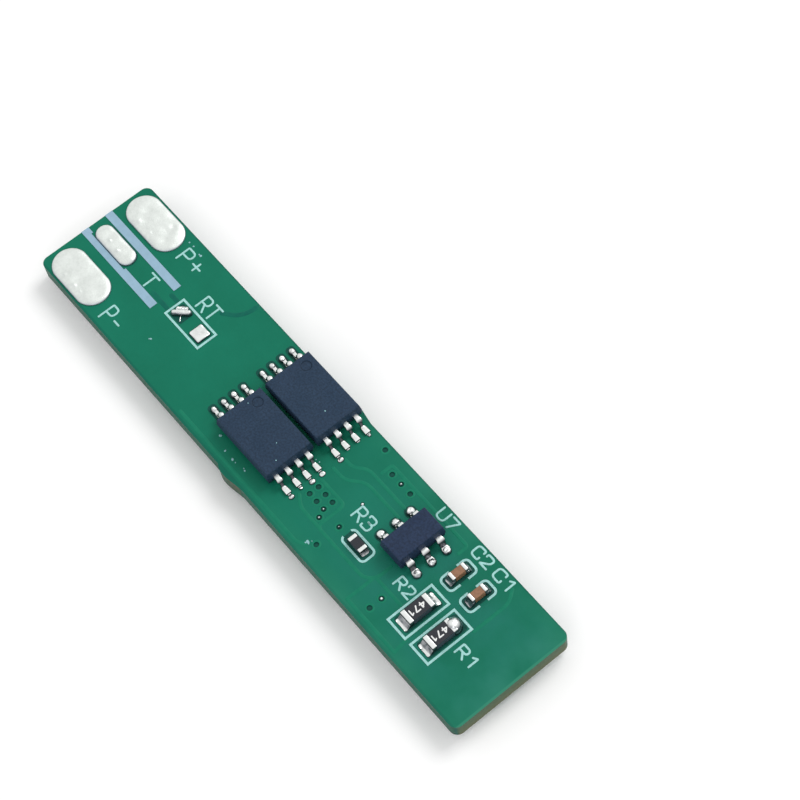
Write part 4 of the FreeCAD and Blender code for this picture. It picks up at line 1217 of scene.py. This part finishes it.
class BOARD_OT_lettering(bpy.types.Operator):
    """Write the printed words of both faces and the numbers of the resistors"""
    bl_idname = "board.lettering"
    bl_label = "Lettering"

    def execute(self, context):
        """Draws every letter as rounded strokes."""
        ink = context.scene.board_layout.ink_wide
        east, north = np.array([1.0, 0.0]), np.array([0.0, 1.0])
        upper, under = [], []
        for word, (start, end, low, high) in UPPER_WORDS.items():
            upper += word_strokes(word, spot(start, low), east, north, (high - low) * MM,
                                  (end - start) * MM, ink, TOP_FACE)
        for word, boxes in UNDER_WORDS.items():
            for start, end, low, high in boxes:
                under += word_strokes(word, spot(start, low), -east, north, (high - low) * MM,
                                      (start - end) * MM, 1.1 * ink, UNDERSIDE, -1.0)
        make_piece("upper_words", upper, "ink")
        make_piece("under_words", under, "ink")
        numbers = []
        for name in ("r1", "r2"):
            low, high = box_of(f"{name}_coat")
            middle = (low + high) / 2.0
            corner = (middle[0] - NUMBER_TALL / 2.0, middle[1] + NUMBER_LONG / 2.0)
            numbers += word_strokes("471", corner, -north, east, NUMBER_TALL, NUMBER_LONG,
                                    NUMBER_INK_WIDE, high[2])
        make_piece("resistor_numbers", numbers, "white_ink")
        return {"FINISHED"}


# The two pressed marks in one of the nickel tabs, as LAND_MARKS, and the forms of the tabs.
TAB_MARKS = {"bm1": ((-0.2, 0.1, 0.13, -0.06), (0.2, 0.1, 0.13, -0.06))}
TAB_CORNER, TAB_EDGE, TAB_TIN_CORNER = 0.25 * MM, 0.05 * MM, 0.08 * MM


class BOARD_OT_tabs(bpy.types.Operator):
    """Build the nickel tabs and the tin that they sit on"""
    bl_idname = "board.tabs"
    bl_label = "Tabs"

    def execute(self, context):
        """Plates with soft edges and pressed marks, over tin with an uneven skin."""
        for number, name in enumerate(("b_plus", "b_minus", "bm1", "bm2")):
            solid = f"{name}_tab"
            low, high = box_of(solid)
            uneven = lumps(40 + number, 2.5 * MM, 0.006 * MM)
            worn = marked(lambda x, y, uneven=uneven: -np.abs(uneven(x, y)),
                          TAB_MARKS.get(name, ()))
            stations = soft_box((high - low)[1] / 2.0, (high - low)[2], TAB_EDGE, rings=24)
            nickel = block_over(solid, TAB_CORNER, stations, -1.0, relief=worn, bend=8, side=48)
            make_piece(f"{name}_plate", [nickel], "nickel", stands_for=(solid,))
            solid = f"{name}_solder"
            low, high = box_of(solid)
            stations = pillow((high - low)[1] / 2.0, (high - low)[2], 8.0, 26)
            tin = block_over(solid, TAB_TIN_CORNER, stations, -1.0, bend=6, side=60,
                             relief=lumps(50 + number, 0.45 * MM, 0.02 * MM))
            make_piece(f"{name}_land", [tin], "tin", stands_for=(solid,))
        return {"FINISHED"}


# Places of flux and solder specks: centre and spread in millimetres, and how many.
UPPER_SPECKS = (((14.95, 1.05), (0.12, 0.03), 4), ((15.85, 0.7), (0.05, 0.05), 2),
                ((16.55, 0.74), (0.12, 0.05), 3), ((17.35, 0.8), (0.08, 0.03), 2),
                ((22.65, 0.75), (0.08, 0.14), 5), ((19.4, 3.95), (0.3, 0.2), 3),
                ((5.3, 6.78), (0.5, 0.05), 4), ((8.15, 1.6), (0.3, 0.1), 2))
PACKAGE_SPECKS = (((17.9, 5.8), (0.04, 0.06), 2), ((17.65, 2.75), (0.04, 0.04), 1),
                  ((18.45, 2.15), (0.02, 0.04), 1), ((15.0, 3.0), (0.05, 0.03), 1))
UNDER_SPECKS = (((6.0, 5.0), (3.2, 0.05), 60), ((5.5, 2.36), (2.6, 0.05), 48),
                ((9.6, 0.95), (0.14, 0.1), 7), ((7.6, 3.8), (0.3, 0.5), 16))


class BOARD_OT_residue(bpy.types.Operator):
    """Scatter flux and small balls of solder where they are left"""
    bl_idname = "board.residue"
    bl_label = "Residue"

    def execute(self, context):
        """Low drops at seeded places round each centre."""
        draw = np.random.default_rng(7)
        for name, fields, base, way, scale in (
                ("upper_residue", UPPER_SPECKS, TOP_FACE, 1.0, 1.4),
                ("package_dust", PACKAGE_SPECKS, box_of("q1_body")[1][2], 1.0, 0.7),
                ("under_residue", UNDER_SPECKS, UNDERSIDE, -1.0, 1.0)):
            drops = []
            for centre, spread, count in fields:
                for offset, wide in zip(draw.normal(size=(count, 2)),
                                        draw.uniform(0.03, 0.1, count)):
                    place = spot(*(np.array(centre) + np.clip(offset, -1.6, 1.6) * spread))
                    wide *= scale
                    size = (wide * draw.uniform(0.8, 1.8) * MM, wide * MM)
                    drops.append(drop(place, size, 0.03 * MM, 2.0, base, way, rings=5,
                                      turn=draw.uniform(0.0, math.pi), bend=4, side=1))
            make_piece(name, drops, "flux")
        return {"FINISHED"}


def looked_at(tree):
    """1 for the camera, a reflection or a view through glass, and 0 for plain light."""
    path = add(tree, "ShaderNodeLightPath").outputs
    seen = maths(tree, "MAXIMUM", path["Is Glossy Ray"], path["Is Transmission Ray"])
    return maths(tree, "MAXIMUM", path["Is Camera Ray"], seen)


# Lamps: name, place and width, in metres. The floor: its radius and the corners of its rim.
LAMPS = (("key_lamp", (-0.02, 0.2, 0.24), 0.16), ("fill_lamp", (0.2, -0.22, 0.18), 0.12))
FLOOR_RADIUS, FLOOR_CORNERS = 0.7, 96


class BOARD_OT_stage(bpy.types.Operator):
    """Set the floor, the light and the camera"""
    bl_idname = "board.stage"
    bl_label = "Stage"

    def execute(self, context):
        """A pale floor under a white sky, one large lamp behind, a small one in front."""
        settings = context.scene.stage_settings
        self.make_floor()
        self.make_sky(settings.ambient)
        for (name, place, size), power in zip(LAMPS, (settings.key_power, settings.fill_power)):
            lamp = bpy.data.lights.new(name, "AREA")
            lamp.energy, lamp.size = power, size
            lamp.shape = "DISK"
            holder = bpy.data.objects.new(name, lamp)
            holder.location = place
            holder.rotation_euler = (-Vector(place)).to_track_quat("-Z", "Y").to_euler()
            context.scene.collection.objects.link(holder)
        self.make_camera(settings)
        context.scene.view_settings.view_transform = "Standard"
        return {"FINISHED"}

    def make_floor(self):
        """A wide round sheet, white where the camera or a reflection looks at it."""
        angle = np.linspace(0.0, 2.0 * math.pi, FLOOR_CORNERS, endpoint=False)
        rim = np.stack([np.cos(angle), np.sin(angle), np.zeros(FLOOR_CORNERS)], axis=1)
        mesh = bpy.data.meshes.new("floor")
        mesh.from_pydata((rim * FLOOR_RADIUS).tolist(), [], [list(range(FLOOR_CORNERS))])
        material, tree, sockets = new_material("floor_paper", 0.9, specular=0.0)
        fibre = effect(tree, "Mottle", 0.4, 4.0, 1.0)
        pale = blend(tree, fibre, shaded(WHITE, 0.72), shaded(WHITE, 0.78))
        plug(tree, sockets, Base_Color=blend(tree, looked_at(tree), pale, WHITE))
        self.open_below(tree)
        mesh.materials.append(material)
        floor = bpy.data.objects.new("floor", mesh)
        bpy.context.scene.collection.objects.link(floor)

    def open_below(self, tree):
        """Lets a view from below through the sheet."""
        output = next(node for node in tree.nodes if node.type == "OUTPUT_MATERIAL")
        paper = output.inputs["Surface"].links[0].from_socket
        clear = add(tree, "ShaderNodeBsdfTransparent").outputs[0]
        below = add(tree, "ShaderNodeNewGeometry").outputs["Backfacing"]
        mixed = add(tree, "ShaderNodeMixShader", {0: below, 1: paper, 2: clear}).outputs[0]
        tree.links.new(mixed, output.inputs["Surface"])

    def make_sky(self, ambient):
        """White to the camera and in reflections, softer as light."""
        sky = bpy.data.worlds.new("sky")
        bpy.context.scene.world = sky
        sky.use_nodes = True
        tree = sky.node_tree
        back = tree.nodes["Background"].inputs
        back["Color"].default_value = (*WHITE, 1.0)
        tree.links.new(ramp(tree, looked_at(tree), 0.0, 1.0, ambient, 1.0), back["Strength"])

    def make_camera(self, settings):
        """A camera that looks from its place at the aim, rolled about its line of sight."""
        data = bpy.data.cameras.new("camera")
        data.lens, data.sensor_width = settings.lens, 36.0
        data.clip_start, data.clip_end = 0.001, 10.0
        camera = bpy.data.objects.new("camera", data)
        place = Vector(settings.place)
        forward = (Vector(settings.aim) - place).normalized()
        level = forward.cross(Vector((0.0, 0.0, 1.0))).normalized()
        upright = level.cross(forward)
        right = level * math.cos(settings.roll) + upright * math.sin(settings.roll)
        top = right.cross(forward)
        turn = Matrix((right, top, -forward)).transposed().to_4x4()
        camera.matrix_world = Matrix.Translation(place) @ turn
        bpy.context.scene.collection.objects.link(camera)
        bpy.context.scene.camera = camera


STEPS = (BOARD_OT_finishes, BOARD_OT_copper, BOARD_OT_vias, BOARD_OT_clearances,
         BOARD_OT_lands, BOARD_OT_packages, BOARD_OT_chips, BOARD_OT_lettering, BOARD_OT_tabs,
         BOARD_OT_residue, BOARD_OT_stage)
GROUPS = {"board_layout": BoardLayout, "package_sizes": PackageSizes,
          "board_colours": PieceColours, "stage_settings": StageSettings}


class BOARD_PT_panel(bpy.types.Panel):
    """Sizes, colours and steps of the board"""
    bl_idname = "BOARD_PT_panel"
    bl_label = "Battery board"
    bl_space_type = "VIEW_3D"
    bl_region_type = "UI"
    bl_category = "Board"

    def draw(self, context):
        """Lists every property group's values and a button for each step."""
        for name in GROUPS:
            group = getattr(context.scene, name)
            box = self.layout.box()
            for key in group.bl_rna.properties.keys():
                if key not in ("rna_type", "name"):
                    box.prop(group, key)
        for step in STEPS:
            self.layout.operator(step.bl_idname)


def register():
    """Adds the classes, and the property groups to the scene."""
    for kind in (*GROUPS.values(), *STEPS, BOARD_PT_panel):
        bpy.utils.register_class(kind)
    for name, group in GROUPS.items():
        setattr(bpy.types.Scene, name, PointerProperty(type=group))


def unregister():
    """Takes the property groups and the classes away again."""
    for name in GROUPS:
        delattr(bpy.types.Scene, name)
    for kind in reversed((*GROUPS.values(), *STEPS, BOARD_PT_panel)):
        bpy.utils.unregister_class(kind)


def main():
    """Builds the whole board step by step."""
    register()
    for step in STEPS:
        group, name = step.bl_idname.split(".")
        getattr(getattr(bpy.ops, group), name)()


if __name__ == "__main__":
    main()
